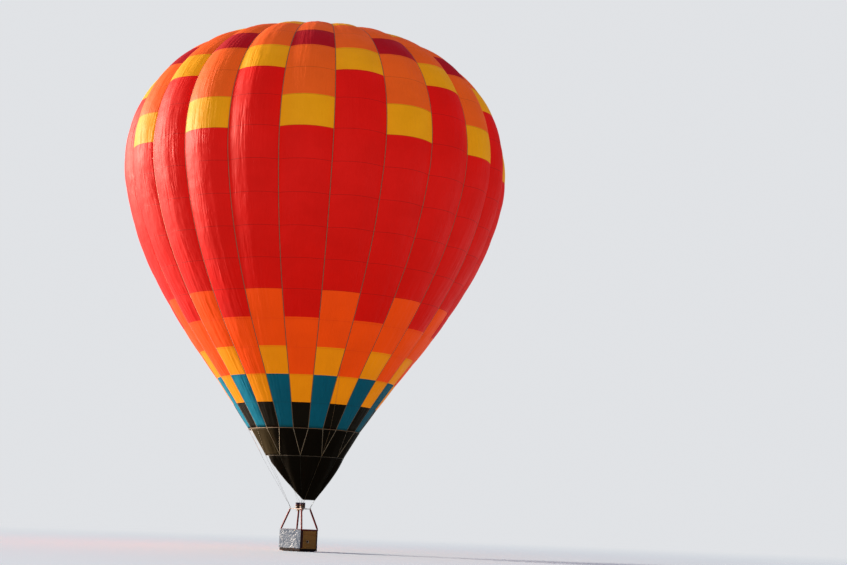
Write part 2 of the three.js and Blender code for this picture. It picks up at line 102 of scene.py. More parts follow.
# A shape is turned inside out if its volume, summed from its triangles' triple products, is negative
def makeShape(points, faces, cloth):
    points = np.asarray(points, float).reshape(-1, 3)
    volume = 0
    for run in faces:
        for k in range(1, run.shape[1] - 1):
            a, b, c = points[run[:, 0]], points[run[:, k]], points[run[:, k + 1]]
            volume += np.einsum("ij,ij->", a, np.cross(b, c))
    if volume < 0:
        faces, cloth = [run[:, ::-1] for run in faces], [places[:, ::-1] for places in cloth]
    return {"points": points, "faces": faces, "cloth": cloth}


# Front and back skins with the same faces, the back's turned round; each open edge gets a strip between them
def twoSkins(front, back, faces, flat, cloth):
    front, back, cloth = front.reshape(-1, 3), back.reshape(-1, 3), cloth.reshape(-1, 2)
    count = len(front)
    edges = np.concatenate([faces[:, [k, (k + 1) % 4]] for k in range(4)])
    places = np.concatenate([flat[:, [k, (k + 1) % 4]] for k in range(4)])
    loose = ~np.isin(edges @ (1, count), edges @ (count, 1))
    a, b = edges[loose].T
    c, d = places[loose].T
    return makeShape(np.concatenate([front, back]),
                     [faces, faces[:, ::-1] + count, np.stack([b, a, a + count, b + count], 1)],
                     [cloth[flat], cloth[flat[:, ::-1]], cloth[np.stack([d, c, c, d], 1)]])


# A section (k x 2, or one for each point) carried along a path: its first number goes sideways and its second
# towards "top", both square to the path. Places are (way along the path, way round the section) in metres
def sweep(path, section, top=(0, 0, 1), closed=False):
    path, section = np.asarray(path, float), np.asarray(section, float)
    steps = np.roll(path, -1, 0) - np.roll(path, 1, 0) if closed else np.gradient(path, axis=0)
    steps /= np.linalg.norm(steps, axis=1, keepdims=True)
    side = np.cross(steps, top)
    side /= np.linalg.norm(side, axis=1, keepdims=True)
    over = np.cross(side, steps)
    if section.ndim == 2:
        section = np.repeat(section[None], len(path), 0)
    points = path[:, None] + section[..., :1] * side[:, None] + section[..., 1:] * over[:, None]
    n, k = points.shape[:2]
    faces, flat = gridFaces(n, k, closed, True)
    along = lengthAlong(np.concatenate([path, path[:1]]) if closed else path)
    places = gridPlaces(along, lengthAlong(np.concatenate([section[0], section[0][:1]])))
    faces, cloth = [faces], [places[flat]]
    if not closed:
        lid = np.arange(k)[None]
        faces += [lid[:, ::-1], lid + (n - 1) * k]
        cloth += [section[:1, ::-1], section[-1:]]
    return makeShape(points, faces, cloth)


def circle(radius, sides):
    return polar(radius, turns(sides), 0)[:, :2]


# Directions round four rounded corners, and the signs of the corner that each belongs to
def cornerTurns(steps):
    t = np.radians(np.add.outer(np.arange(4) * 90, np.linspace(0, 90, steps))).ravel()
    return np.stack([np.cos(t), np.sin(t)], 1), np.repeat([(1, 1), (-1, 1), (-1, -1), (1, -1)], steps, axis=0)


# Rectangle of half sizes a and b with quarter circles of the given radius at its corners
def roundedBox(a, b, radius, steps=4):
    ways, signs = cornerTurns(steps)
    return signs * (a - radius, b - radius) + radius * ways


# An outline of (radius, height) turned about the vertical through x, y, from z up; flat lids close its ends
def turned(outline, sides, x=0.0, y=0.0, z=0.0):
    outline = np.asarray(outline, float)
    points = polar(np.maximum(outline[:, :1], 0.0004), turns(sides), outline[:, 1:]) + (x, y, z)
    faces, flat = gridFaces(len(outline), sides, False, True)
    places = gridPlaces(lengthAlong(outline), np.arange(sides + 1) / sides)
    lid = np.arange(sides)[None]
    return makeShape(points, [faces, lid[:, ::-1], lid + (len(outline) - 1) * sides],
                     [places[flat], *[np.zeros((1, sides, 2))] * 2])


def rod(start, end, radius, sides=10):
    along = np.subtract(end, start)
    level = abs(along[2]) < 0.9 * np.linalg.norm(along)
    return sweep([start, end], circle(radius, sides), (0, 0, 1) if level else (1, 0.01, 0))


# A bar with a rounded square section, its edges at the ends drawn in by a few millimetres
def bar(start, end, width, height, radius=0.004):
    start, end = np.asarray(start, float), np.asarray(end, float)
    along = (end - start) / np.linalg.norm(end - start)
    section = roundedBox(width / 2, height / 2, radius)
    inset = section * (1 - radius / np.array([width, height]) * 1.2)
    path = [start, start + along * radius * 0.6, end - along * radius * 0.6, end]
    return sweep(path, [inset, section, section, inset])


# A closed ring of wire on an upright oval: half sizes a and b, in the level direction "side" and upwards
def link(centre, side, a, b, thickness, sides=8, steps=24):
    t = turns(steps)[:, None]
    side = np.array([*side, 0]) / np.hypot(*side)
    path = np.asarray(centre) + a * np.cos(t) * side + b * np.sin(t) * (0, 0, 1)
    return sweep(path, circle(thickness, sides), np.cross(side, (0, 0, 1)), closed=True)


def joined(shapes):
    start = np.cumsum([0] + [len(shape["points"]) for shape in shapes])
    return {"points": np.concatenate([shape["points"] for shape in shapes]),
            "faces": [run + first for shape, first in zip(shapes, start) for run in shape["faces"]],
            "cloth": [places for shape in shapes for places in shape["cloth"]]}


# A shape as an object: points lowered to the origin's height, faces in one run, places as UV map "cloth"
def makePiece(name, shape, material, body="balloon", nodes=(), smooth=True, extra=None):
    mesh = bpy.data.meshes.new(name)
    faces = [face for run in shape["faces"] for face in run.tolist()]
    mesh.from_pydata((shape["points"] - (0, 0, lift)).tolist(), [], faces)
    cloth = np.concatenate([places.reshape(-1) for places in shape["cloth"]])
    mesh.uv_layers.new(name="cloth").data.foreach_set("uv", cloth.astype(np.float32))
    for key, values in (extra or {}).items():
        numbers = np.ravel(values).astype(np.float32)
        mesh.attributes.new(key, "FLOAT", "POINT").data.foreach_set("value", numbers)
    mesh.polygons.foreach_set("use_smooth", np.full(len(faces), True))
    if smooth is not True:
        mesh.set_sharp_from_angle(angle=math.radians(smooth))
    mesh.materials.append(material)
    piece = add(name, mesh)
    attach(piece, body)
    if nodes:
        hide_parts(*nodes)
    return piece


# Materials

# An output of a node, so that sums and products of numbers read as such
class Wire:
    def __init__(self, socket):
        self.socket, self.tree = socket, socket.id_data

    def __add__(self, other):
        return calc("ADD", self, other)

    def __sub__(self, other):
        return calc("SUBTRACT", self, other)

    def __mul__(self, other):
        return calc("MULTIPLY", self, other)

    def __truediv__(self, other):
        return calc("DIVIDE", self, other)


def colour(r, g, b):  # a screen colour of 0 to 255 as light
    c = np.array([r, g, b]) / 255
    return (*np.where(c < 0.04045, c / 12.92, ((c + 0.055) / 1.055) ** 2.4).tolist(), 1)


# A node's inputs, by number or name: a wire is joined, anything else is set
def fill(node, inputs):
    for key, value in inputs.items():
        if isinstance(value, Wire):
            value.tree.links.new(value.socket, node.inputs[key])
        else:
            node.inputs[key].default_value = value


# One output of a new node with its settings and inputs
def put(tree, kind, inputs, out=0, **settings):
    made = tree.nodes.new("ShaderNode" + kind)
    for key, value in settings.items():
        setattr(made, key, value)
    fill(made, inputs)
    return Wire(made.outputs[out])


def calc(operation, *values, clamp=False):
    tree = next(value.tree for value in values if isinstance(value, Wire))
    return put(tree, "Math", dict(enumerate(values)), operation=operation, use_clamp=clamp)


def mapped(value, low, high, toLow=0.0, toHigh=1.0, **settings):
    return put(value.tree, "MapRange", {0: value, 1: low, 2: high, 3: toLow, 4: toHigh}, **settings)


def split(vector):
    made = vector.tree.nodes.new("ShaderNodeSeparateXYZ")
    fill(made, {0: vector})
    return [Wire(output) for output in made.outputs]


def ramp(value, stops, constant=False):
    made = value.tree.nodes.new("ShaderNodeValToRGB")
    fill(made, {0: value})
    made.color_ramp.interpolation = "CONSTANT" if constant else "LINEAR"
    while len(made.color_ramp.elements) < len(stops):
        made.color_ramp.elements.new(1)
    for stop, (place, shade) in zip(made.color_ramp.elements, stops):
        stop.position = place
        stop.color = shade
    return Wire(made.outputs[0])


def blend(share, a, b, how="MIX"):
    tree = next(value.tree for value in (share, a, b) if isinstance(value, Wire))
    return put(tree, "Mix", {0: share, 6: a, 7: b}, out=2, data_type="RGBA", blend_type=how)


def noise(places, scale, stretch=(1, 1, 1), detail=3.0, rough=0.55):
    if stretch != (1, 1, 1):
        places = put(places.tree, "Mapping", {"Vector": places, "Scale": stretch})
    inputs = {"Vector": places, "Scale": scale, "Detail": detail, "Roughness": rough}
    return put(places.tree, "TexNoise", inputs)


def bump(height):
    return put(height.tree, "Bump", {"Height": height, "Strength": 1.0, "Distance": 1.0})


def onCloth(tree):
    return put(tree, "UVMap", {}, uv_map="cloth")


def onObject(tree):
    return put(tree, "TexCoord", {}, out="Object")


# An effect is a node group that takes places, then numbers, and gives one number
def newEffect(name, *numbers):
    group = bpy.data.node_groups.new(name, "ShaderNodeTree")
    group.interface.new_socket("Places", in_out="INPUT", socket_type="NodeSocketVector")
    for number in numbers:
        group.interface.new_socket(number, in_out="INPUT", socket_type="NodeSocketFloat")
    group.interface.new_socket("Value", in_out="OUTPUT", socket_type="NodeSocketFloat")
    given = [Wire(output) for output in group.nodes.new("NodeGroupInput").outputs]
    return group, group.nodes.new("NodeGroupOutput"), *given[:1 + len(numbers)]


def effect(group, places, *numbers):
    return put(places.tree, "Group", dict(enumerate((places, *numbers))), node_tree=group)


# Threads: the product of two sines, one across and one along, so they stand up in turn
threads, wanted, places, perMetre = newEffect("threads", "PerMetre")
waves = [calc("SINE", way * (perMetre * math.pi)) for way in split(places)[:2]]
fill(wanted, {0: waves[0] * waves[1] * 0.5 + 0.5})

# Weathering: broad soft patches with finer ones inside, 0 clean to 1 stained
weathering, wanted, places, perMetre = newEffect("weathering", "PerMetre")
fill(wanted, {0: mapped(noise(places, perMetre, detail=6.0, rough=0.62), 0.38, 0.68)})

# Creases of a hide, and its pebbles from cell distances, broken by the creases
creases, wanted, places, perMetre = newEffect("creases", "PerMetre")
fill(wanted, {0: noise(places, perMetre, detail=4.0, rough=0.5)})
pebbles, wanted, places, perMetre = newEffect("pebbles", "PerMetre")
cells = put(pebbles, "TexVoronoi", {"Vector": places, "Scale": perMetre}, feature="F1")
fill(wanted, {0: cells * 0.6 + effect(creases, places, perMetre) * 0.5})

# Stitches: short dashes along the cloth at a given distance across it, 1 on a thread
stitches, wanted, places, line, perMetre = newEffect("stitches", "Line", "PerMetre")
along, across, _ = split(places)
dash = calc("LESS_THAN", calc("FRACT", along * perMetre), 0.6)
fill(wanted, {0: dash * calc("LESS_THAN", calc("ABSOLUTE", across - line), 0.0016)})


def newMaterial(name, roughness=0.5, gloss=0.5):
    material = bpy.data.materials.new(name)
    material.use_nodes = True
    skin = material.node_tree.nodes["Principled BSDF"]
    fill(skin, {"Roughness": roughness, "Specular IOR Level": gloss})
    return material, material.node_tree, skin


# The lower rows' yellow and orange are painted light: warmer, brighter copies of the upper yellow and orange,
# for the warm light that falls low on the envelope
bandColours = {
    "black": (0.011, 0.007, 0.0035, 1), "teal": (0.002, 0.225, 0.375, 1), "yellow": (0.64, 0.25, 0.0015, 1),
    "warmLitYellow": (0.76, 0.222, 0.002, 1), "orange": (0.63, 0.08, 0.006, 1), "warmLitOrange": (0.78, 0.058, 0.002, 1),
    "red": (0.56, 0.0034, 0.0012, 1), "deepRed": (0.31, 0.0016, 0.005, 1),
}
# Gore cloth settings. The glow entry is the strength of a painted glow by emission, standing in for sunlight
# shining through the cloth; the noGlow bands get none
cloth = {
    "rowHeight": 1.557, "seamWidth": 0.017, "seamShade": 0.42, "threadsPerMetre": 420.0, "roughness": 0.58,
    "gloss": 0.17, "glow": 0.58, "noGlow": ("black", "teal"), "wrinkle": 0.062, "fold": 0.022,
    "pucker": 0.014, "seamShadow": (0.012, 0.004, 0.004, 1), "stain": (0.30, 0.2, 0.16, 1), "rampRows": 20,
    "bandsA": ((0, "black"), (1, "warmLitYellow"), (2, "warmLitOrange"), (4, "red"), (10, "yellow"), (11, "orange"),
               (13, "deepRed"), (14, "orange")),
    "bandsB": ((0, "teal"), (2, "warmLitYellow"), (3, "warmLitOrange"), (5, "red"), (12, "yellow"), (13, "orange"),
               (15, "yellow"), (16, "orange")),
}


# Gore cloth: flat colour bands by row, a felled seam at each ring, painted shade beside the tapes, a painted
# glow that stands in for the sun shining through, long creases up and down that fade in patches, short
# puckers square to the tapes, and a fine weave. Places are metres across and up from the mouth
def stripedCloth(name, bands):
    material, tree, skin = newMaterial(name, cloth["roughness"], cloth["gloss"])
    places = onCloth(tree)
    ring = split(places)[1] / cloth["rowHeight"]
    atRow = ring / cloth["rampRows"]
    shade = ramp(atRow, [(row / cloth["rampRows"], bandColours[band]) for row, band in bands], True)
    # Painted glow: how much of the band's colour it emits, standing in for the sunlight it lets through; dark
    # cloth none
    light = [(row / cloth["rampRows"], (0, 0, 0, 1) if band in cloth["noGlow"] else (1, 1, 1, 1))
             for row, band in bands]
    half = cloth["seamWidth"] / 2 / cloth["rowHeight"]
    offSeam = calc("ABSOLUTE", calc("FRACT", ring + 0.5) - 0.5)
    seam = mapped(offSeam, half * 0.7, half * 1.5, 1.0, 0.0)
    fromTape = put(tree, "Attribute", {}, out="Fac", attribute_name="fromTape")
    # Painted shade in the valley beside each tape, mixed in the seam shadow colour together with the darker
    # felled seam at each ring
    tapeValleyShade = mapped(fromTape, 0.003, 0.014, 0.75, 0.0)
    shade = blend(calc("MAXIMUM", seam * cloth["seamShade"], tapeValleyShade * 0.5), shade, cloth["seamShadow"])
    patches = effect(weathering, places, 0.55)
    shade = blend(patches * 0.13, shade, cloth["stain"], "MULTIPLY")
    creased = mapped(noise(places, 0.8, (1, 0.6, 1)), 0.36, 0.66) * cloth["wrinkle"]
    byTape = mapped(fromTape, 0.0, 0.42, 1.0, 0.0)
    height = noise(places, 9.5, (1, 0.07, 1), 2.0) * creased
    height = height + noise(places, 2.2, (1, 0.16, 1), 1.0) * cloth["fold"]
    height = height + noise(places, 3.4, (0.5, 1, 1), 2.0) * cloth["pucker"] * (byTape * byTape)
    height = height + seam * 0.0022 + effect(threads, places, cloth["threadsPerMetre"]) * 0.00006
    # Painted glow: the band's own colour emitted, as if the sun shone through the cloth
    glow = blend(1.0, shade, ramp(atRow, light, True), "MULTIPLY")
    fill(skin, {"Base Color": shade, "Emission Color": glow, "Emission Strength": cloth["glow"],
                "Normal": bump(height), "Roughness": patches * 0.1 + (cloth["roughness"] - 0.04)})
    return material


# Plain cloth with creases and a weave. "paint" gives its colour from the places, patches and weave
def plainCloth(name, paint, roughness, creaseDepth, vertical, gloss):
    material, tree, skin = newMaterial(name, roughness, gloss)
    places = onCloth(tree)
    patches, weave = effect(weathering, places, 1.6), effect(threads, places, 300.0)
    broad = noise(places, 3.5, (1, vertical, 1), 1.0)
    fine = noise(places, 12.0, (1, vertical, 1), 2.0)
    fill(skin, {"Base Color": paint(places, patches, weave), "Roughness": patches * 0.12 + (roughness - 0.05),
                "Normal": bump(broad * creaseDepth + fine * (creaseDepth * 0.4) + weave * 0.00012)})
    return material


# Woven webbing: fine ribs, and patches where it is worn
def webbingMaterial(name, shade, worn):
    material, tree, skin = newMaterial(name)
    places = onCloth(tree)
    ribs, patches = effect(threads, places, 520.0), effect(weathering, places, 2.5)
    fill(skin, {"Sheen Weight": 0.25, "Base Color": blend(ribs * 0.3 + patches * 0.5, shade, worn),
                "Roughness": patches * 0.15 + 0.62, "Normal": bump(ribs * 0.0005)})
    return material


# Leather: pebble grain, rubbed lighter in patches, and rows of thread at given distances round the piece
def leatherMaterial(name, shade, rubbed, thread, lines=(), perMetre=260.0, roughness=0.5, gloss=0.3):
    material, tree, skin = newMaterial(name, roughness, gloss)
    places = onObject(tree)
    patches = effect(weathering, places, 5.0)
    base = blend(effect(creases, places, perMetre) * 0.25 + patches * 0.55, shade, rubbed)
    height = effect(pebbles, places, perMetre) * 0.0009
    for line in lines:
        sewn = effect(stitches, onCloth(tree), line, 90.0)
        base, height = blend(sewn, base, thread), height + sewn * 0.0012
    fill(skin, {"Base Color": base, "Roughness": patches * 0.18 + (roughness - 0.08), "Normal": bump(height)})
    return material


# Metal: fine brushing along one direction and dull patches. "paint" may give its colour from the places
def metalMaterial(name, shade, dull, roughness, stretch=(1, 1, 0.05), perMetre=180.0, metal=1.0, paint=None):
    material, tree, skin = newMaterial(name)
    places = onObject(tree)
    brushing, patches = noise(places, perMetre, stretch, 4.0), effect(weathering, places, 7.0)
    base = paint(places) if paint else blend(patches * 0.8, shade, dull)
    fill(skin, {"Metallic": metal, "Base Color": base, "Normal": bump(brushing * 0.0004),
                "Roughness": patches * 0.22 + brushing * 0.2 + (roughness - 0.12)})
    return material


# Cane: every strand has its own brown, with fibres along it, and painted shade in the grooves between the
# rows. A strand has painted shade where it dips behind a stake, one row against the next, and inside, away
# from the sun
def caneMaterial(name):
    material, tree, skin = newMaterial(name, gloss=0.35)
    places = onCloth(tree)
    along, height, _ = split(places)
    row = height / (wicker["row"] / 2)
    strand = put(tree, "CombineXYZ", {0: calc("FLOOR", along * 1.4), 1: calc("FLOOR", row)})
    own = put(tree, "TexWhiteNoise", {"Vector": strand}, noise_dimensions="2D")
    fibres = noise(places, 60.0, (0.12, 8, 1), 3.0)
    base = ramp(fibres * 0.35 + own * 0.65,
                [(0.0, colour(190, 120, 46)), (0.45, colour(248, 168, 76)), (1.0, colour(255, 206, 116))])
    # Painted shade where a strand dips behind a stake
    stake = along * wicker["stakesPerMetre"] + calc("FLOOR", height / wicker["row"])
    base = blend(mapped(calc("COSINE", stake * math.pi), 0.7, -1.0, 0.0, 0.7), base, colour(74, 44, 20))
    # Painted shade over the inner skin, away from the sun
    inside = put(tree, "Attribute", {}, out="Fac", attribute_name="inside")
    base = blend(inside * 0.75, base, colour(40, 26, 14))
    # Painted shade in the grooves between the rows
    off = calc("ABSOLUTE", calc("FRACT", row) - 0.5)
    base = blend(mapped(off, 0.34, 0.5) * 0.75, base, colour(44, 26, 14))
    fill(skin, {"Base Color": base, "Roughness": fibres * 0.25 + 0.42,
                "Normal": bump(fibres * 0.0006 - off * off * 0.012)})
    return material


# Plywood and hardwood: long rings stretched along X, darker where feet and ground have stained it
def woodMaterial(name):
    material, tree, skin = newMaterial(name)
    places = onObject(tree)
    rings = noise(places, 22.0, (0.12, 1, 1), 5.0)
    base = ramp(rings, [
        (0.3, colour(92, 62, 36)), (0.55, colour(146, 104, 62)), (0.75, colour(170, 128, 82))])
    base = blend(effect(weathering, places, 4.0) * 0.55, base, colour(58, 42, 28))
    fill(skin, {"Base Color": base, "Roughness": rings * 0.3 + 0.45, "Normal": bump(rings * 0.0012)})
    return material


# Stage: a plain pale floor to the horizon, low warm sun from the left, soft fill and a pale sky
print("stage")
light = {
    "sunTowardsCamera": -21, "sunHeight": 13, "sun": 8.6, "sunColour": (1.0, 0.86, 0.7), "sunWidth": 18.0,
    "fillLeft": -38, "fillHeight": 10, "fill": 0.45, "fillColour": (1.0, 0.88, 0.78), "fillWidth": 80.0,
    "sky": ((0.0, (0.12, 0.11, 0.09, 1)), (0.5, (0.2, 0.2, 0.2, 1)), (0.68, (0.15, 0.18, 0.23, 1)),
            (1.0, (0.1, 0.15, 0.28, 1))),
    "backdrop": (0.75, 0.765, 0.79, 1), "floorSeen": (0.75, 0.88, 1.0, 1),
    "floorBounce": (0.16, 0.17, 0.12, 1), "fadeFrom": 6.0, "fadeTo": 75.0, "floorReach": 1500.0,
}


def addSun(name, towardsCamera, height, strength, shade, width):
    # towardsCamera is the level angle from the picture's left towards the camera
    a, e = math.radians(towardsCamera), math.radians(height)
    direction = (outwards * math.sin(a) - sideways * math.cos(a)) * math.cos(e) + up * math.sin(e)
    lamp = bpy.data.lights.new(name, "SUN")
    lamp.energy, lamp.color, lamp.angle = strength, shade, math.radians(width)
    holder = add(name, lamp)
    holder.rotation_mode = "QUATERNION"
    holder.rotation_quaternion = direction.to_track_quat("Z", "Y")


for name, a in (("sun", light["sunTowardsCamera"]), ("fill", 90 + light["fillLeft"])):
    addSun(name, a, light[name + "Height"], light[name], light[name + "Colour"], light[name + "Width"])
bpy.context.scene.view_settings.view_transform = "Standard"
# The camera sees one pale colour all round; the object gets a dimmer light, bluer from higher up
world = bpy.data.worlds.new("pale sky")
bpy.context.scene.world = world
world.use_nodes = True
sky = world.node_tree
skyUp = split(put(sky, "TexCoord", {}, out="Generated"))[2]
skyLight = ramp(skyUp * 0.5 + 0.5, light["sky"])
seen = put(sky, "LightPath", {}, out="Is Camera Ray")
fill(sky.nodes["Background"], {0: blend(seen, skyLight, light["backdrop"])})
# The camera sees the pale floor; the balloon above gets little light back from it, as from grass. Away from
# the balloon the floor fades into the backdrop: the share grows with the level distance
floorMaterial, tree, skin = newMaterial("pale floor", 0.9)
seen = put(tree, "LightPath", {}, out="Is Camera Ray")
fill(skin, {"Base Color": blend(seen, light["floorBounce"], light["floorSeen"])})
east, north, _ = split(onObject(tree))
fade = mapped(calc("SQRT", east * east + north * north), light["fadeFrom"], light["fadeTo"],
              interpolation_type="SMOOTHSTEP")
glow = put(tree, "Emission", {"Color": light["backdrop"]})
both = put(tree, "MixShader", {0: fade, 1: Wire(skin.outputs[0]), 2: glow})
fill(tree.nodes["Material Output"], {"Surface": both})
floorMesh = bpy.data.meshes.new("floor")
floorMesh.from_pydata([(sx * light["floorReach"], sy * light["floorReach"], -lift - 0.001)
                       for sx, sy in corners.values()], [], [(0, 1, 2, 3)])
floorMesh.materials.append(floorMaterial)
add("floor", floorMesh)

# Envelope
print("gores")
envelope = {
    "mouthHeight": 6.14, "mouthRadius": 2.875, "mouthAngle": 33.62, "rowHeight": cloth["rowHeight"],
    "firstRow": 1.425, "rows": (3, 3, 3, 2, 2, 2, 2, 1),
    "turns": (-1.13, 3.08, 5.18, 11.73, 12.91, 12.23, 9.46, 4.62),
    "bulgeRings": (0, 3, 5, 7, 9, 11, 13, 14, 15, 16, 17),
    "bulge": (0, 0.007, 0.0145, 0.028, 0.033, 0.036, 0.043, 0.048, 0.05, 0.038, 0.01),
    "gores": 24, "firstGore": 45, "columns": 33, "rowsPerPanel": 8, "thickness": 0.006, "pillow": 0.013,
    "fold": 0.0035, "foldWaves": (2.3, 3.6, 5.2), "tapeWidth": 0.03, "tapeProud": 0.002, "topRing": 17,
    "slack": 1.03,
}
half = 180 / envelope["gores"]
ringTurn = np.radians(np.repeat(envelope["turns"], envelope["rows"]))
ringAngle = math.radians(envelope["mouthAngle"]) - np.r_[0, np.cumsum(ringTurn)]
rowHeights = np.r_[envelope["firstRow"], np.full(len(ringTurn) - 1, envelope["rowHeight"])]
chords = rowHeights * np.sinc(ringTurn / 2 / np.pi)
ringRadius = envelope["mouthRadius"] + np.r_[0, np.cumsum(chords * np.sin(ringAngle[:-1] - ringTurn / 2))]
ringHeight = envelope["mouthHeight"] + np.r_[0, np.cumsum(chords * np.cos(ringAngle[:-1] - ringTurn / 2))]


# Radius, height and slope at ring number v. Inside a row the slope falls evenly, so the chord from the ring
# below is the way up times the sinc of half the turn so far, along the slope midway
def profileAt(v):
    ring = np.clip(np.floor(v), 0, len(ringTurn) - 1).astype(int)
    turn = ringTurn[ring] * (v - ring) / 2
    chord = rowHeights[ring] * (v - ring) * np.sinc(turn / np.pi)
    return (ringRadius[ring] + chord * np.sin(ringAngle[ring] - turn),
            ringHeight[ring] + chord * np.cos(ringAngle[ring] - turn), ringAngle[ring] - 2 * turn)


# A gore at u from -1 to 1 across and ring number v: the radius swells by the row's share of (1 - u squared),
# its edges stay clear of the tapes, and "out" is an extra distance square to the slope
def onGore(centre, u, v, out=0.0):
    radius, height, angle = profileAt(v)
    share = np.interp(v, envelope["bulgeRings"], envelope["bulge"])
    a = np.radians(centre + u * half)
    clear = -u * (envelope["tapeWidth"] / 2 + 0.0003)
    r = radius * (1 + share * (1 - u * u)) + out * np.cos(angle)
    return polar(r, a, height - out * np.sin(angle)) + polar(clear, a + math.pi / 2, 0)


# Area of a grid's quads: half the cross product of their diagonals
def gridArea(grid):
    across, back = grid[1:, 1:] - grid[:-1, :-1], grid[1:, :-1] - grid[:-1, 1:]
    return float(np.linalg.norm(np.cross(across, back), axis=-1).sum() / 2)


goreCloths = stripedCloth("gore_a_cloth", cloth["bandsA"]), stripedCloth("gore_b_cloth", cloth["bandsB"])
u = np.linspace(-1, 1, envelope["columns"])[None, :]
v = np.linspace(0, envelope["topRing"], envelope["topRing"] * envelope["rowsPerPanel"] + 1)[:, None]
goreFaces, goreFlat = gridFaces(len(v), u.size)
shuffle = np.random.default_rng(24)
for k in range(envelope["gores"]):
    # Between two seams the cloth stands out like a cushion, with a few broad folds, its own in each gore
    phases = shuffle.uniform(0, 2 * np.pi, (3, 2))
    folds = sum(np.sin(np.pi * wave * u + p + 0.7 * np.sin(0.6 * v + q))
                for wave, (p, q) in zip(envelope["foldWaves"], phases))
    between = np.sin(np.pi * (v % 1)) ** 0.8
    ends = np.minimum(1, np.minimum(v, envelope["topRing"] - v))
    out = envelope["pillow"] * between + envelope["fold"] * folds * (0.4 + 0.6 * between) * ends
    out = out * (1 - u ** 4)
    kind, centre = "ab"[k % 2], envelope["firstGore"] + 2 * half * k
    front = onGore(centre, u, v, out)
    width = np.radians(half) * profileAt(v)[0] - envelope["tapeWidth"] / 2
    places = np.stack(np.broadcast_arrays(width * u + 9 * k, v * envelope["rowHeight"]), -1)
    fromTape = width * (1 - abs(u))
    back = onGore(centre, u, v, out - envelope["thickness"])
    piece = makePiece(f"cloth_{k + 1:02d}_{kind}", twoSkins(front, back, goreFaces, goreFlat, places),
                      goreCloths[k % 2], nodes=[f"gore_{k + 1:02d}_{kind}"],
                      extra={"fromTape": [fromTape, fromTape]})
    gridArea(front)

print("tapes")
webbing = webbingMaterial("tape_webbing", colour(160, 130, 96), colour(120, 94, 66))
dullWebbing = webbingMaterial("dull_webbing", colour(112, 96, 78), colour(70, 58, 46))
paleWebbing = webbingMaterial("pale_webbing", colour(206, 184, 156), colour(160, 138, 112))
tapes = {"stepsPerPanel": 4, "thickness": 0.005, "crownRadius": 0.26, "crownWire": 0.016, "bandHeight": 0.026,
         "bandDrop": 0.028}
crownHeight = ringHeight[18] + 0.03
v = np.linspace(0, envelope["topRing"], envelope["topRing"] * tapes["stepsPerPanel"] + 1)
radius, height, angle = profileAt(v)
radius = np.r_[radius[0], radius, ringRadius[18], tapes["crownRadius"]]
height = np.r_[envelope["mouthHeight"] - 0.03, height, ringHeight[18], crownHeight]
angle = np.r_[0, angle, ringAngle[18], -math.pi / 2]
sunk = tapes["thickness"] / 2 - envelope["tapeProud"]  # a strap's face stands proud of the gores' edges
strapSection = roundedBox(envelope["tapeWidth"] / 2, tapes["thickness"] / 2, 0.0024, 3)
straps = [sweep(polar(radius - sunk * np.cos(angle), a, height + sunk * np.sin(angle)), strapSection,
                polar(np.cos(angle), a, -np.sin(angle)))
          for a in np.radians(envelope["firstGore"] + (2 * np.arange(envelope["gores"]) + 1) * half)]
bandPath = polar(envelope["mouthRadius"] + 0.002, turns(144), envelope["mouthHeight"] - tapes["bandDrop"])
band = sweep(bandPath, roundedBox(0.005, tapes["bandHeight"] / 2, 0.0045, 3), closed=True)
makePiece("load_webbing", joined([*straps, band]), webbing, nodes=["load_tapes"])
alloy = metalMaterial("cylinder_aluminium", colour(196, 200, 204), colour(150, 154, 158), 0.36)
crownRing = sweep(polar(tapes["crownRadius"], turns(72), crownHeight + 0.004), circle(tapes["crownWire"], 12),
                  closed=True)
makePiece("crown_ring", crownRing, alloy)

# Parachute vent: a shallow dish whose panels sag a little between the tapes above them, with a taped edge
print("vent")
vent = {"drop": 0.0125, "lap": 0.16, "sag": 0.022, "thickness": 0.005, "seamShare": 0.01,
        "seamShade": (0.02, 0.01, 0.01, 1)}
reach = ringRadius[17] + vent["lap"]
fall = (ringHeight[17] - ringHeight[16]) / (ringRadius[16] - ringRadius[17])
below = ringHeight[17] - 0.001
knots = np.array([(0, crownHeight), (ringRadius[18], ringHeight[18]), (ringRadius[17], below),
                  (reach, below - fall * vent["lap"])])


# The vent's upper face, under the tapes by its drop and a sag between them that grows with the radius
def ventHeight(radius, azimuth):
    between = abs(np.sin((azimuth - math.radians(envelope["firstGore"] + half)) * envelope["gores"] / 2))
    return np.interp(radius, *knots.T) - vent["drop"] - vent["sag"] * between * np.minimum(radius / 2, 1)


# Panels of two colours, one between each two tapes, with dark seams
def ventPaint(places, patches, weave):
    east, north, _ = split(onObject(places.tree))
    sector = calc("ARCTAN2", north, east) / math.radians(2 * half) + (envelope["gores"] + 0.5)
    odd = calc("MODULO", calc("FLOOR", sector), 2.0)
    offMiddle = calc("ABSOLUTE", calc("FRACT", sector) - 0.5)
    seam = calc("GREATER_THAN", offMiddle, 0.5 - vent["seamShare"])
    return blend(seam * 0.6, blend(odd, bandColours["orange"], bandColours["yellow"]), vent["seamShade"])


radii = np.r_[0.02, np.linspace(0.12, reach, 22)][:, None]
t = turns(192)
top = polar(radii, t, ventHeight(radii, t))
ventFaces, ventFlat = gridFaces(len(radii), t.size, False, True)
ventCloth = plainCloth("vent_cloth", ventPaint, 0.5, 0.004, 1.0, 0.3)
ventPlaces = polar(radii, np.append(t, 2 * np.pi), 0)[..., :2]
ventDish = twoSkins(top, top - (0, 0, vent["thickness"]), ventFaces, ventFlat, ventPlaces)
ventPiece = makePiece("vent_dish", ventDish, ventCloth, "vent", ["vent_panel"])
edgePath = polar(reach, turns(96), ventHeight(reach, turns(96)) - vent["thickness"] / 2)
edgeTape = sweep(edgePath, roundedBox(0.004, 0.014, 0.003, 3), closed=True)
ventEdge = makePiece("vent_edge_tape", edgeTape, webbing, "vent")
2 * reach
2 * reach
math.pi * reach ** 2

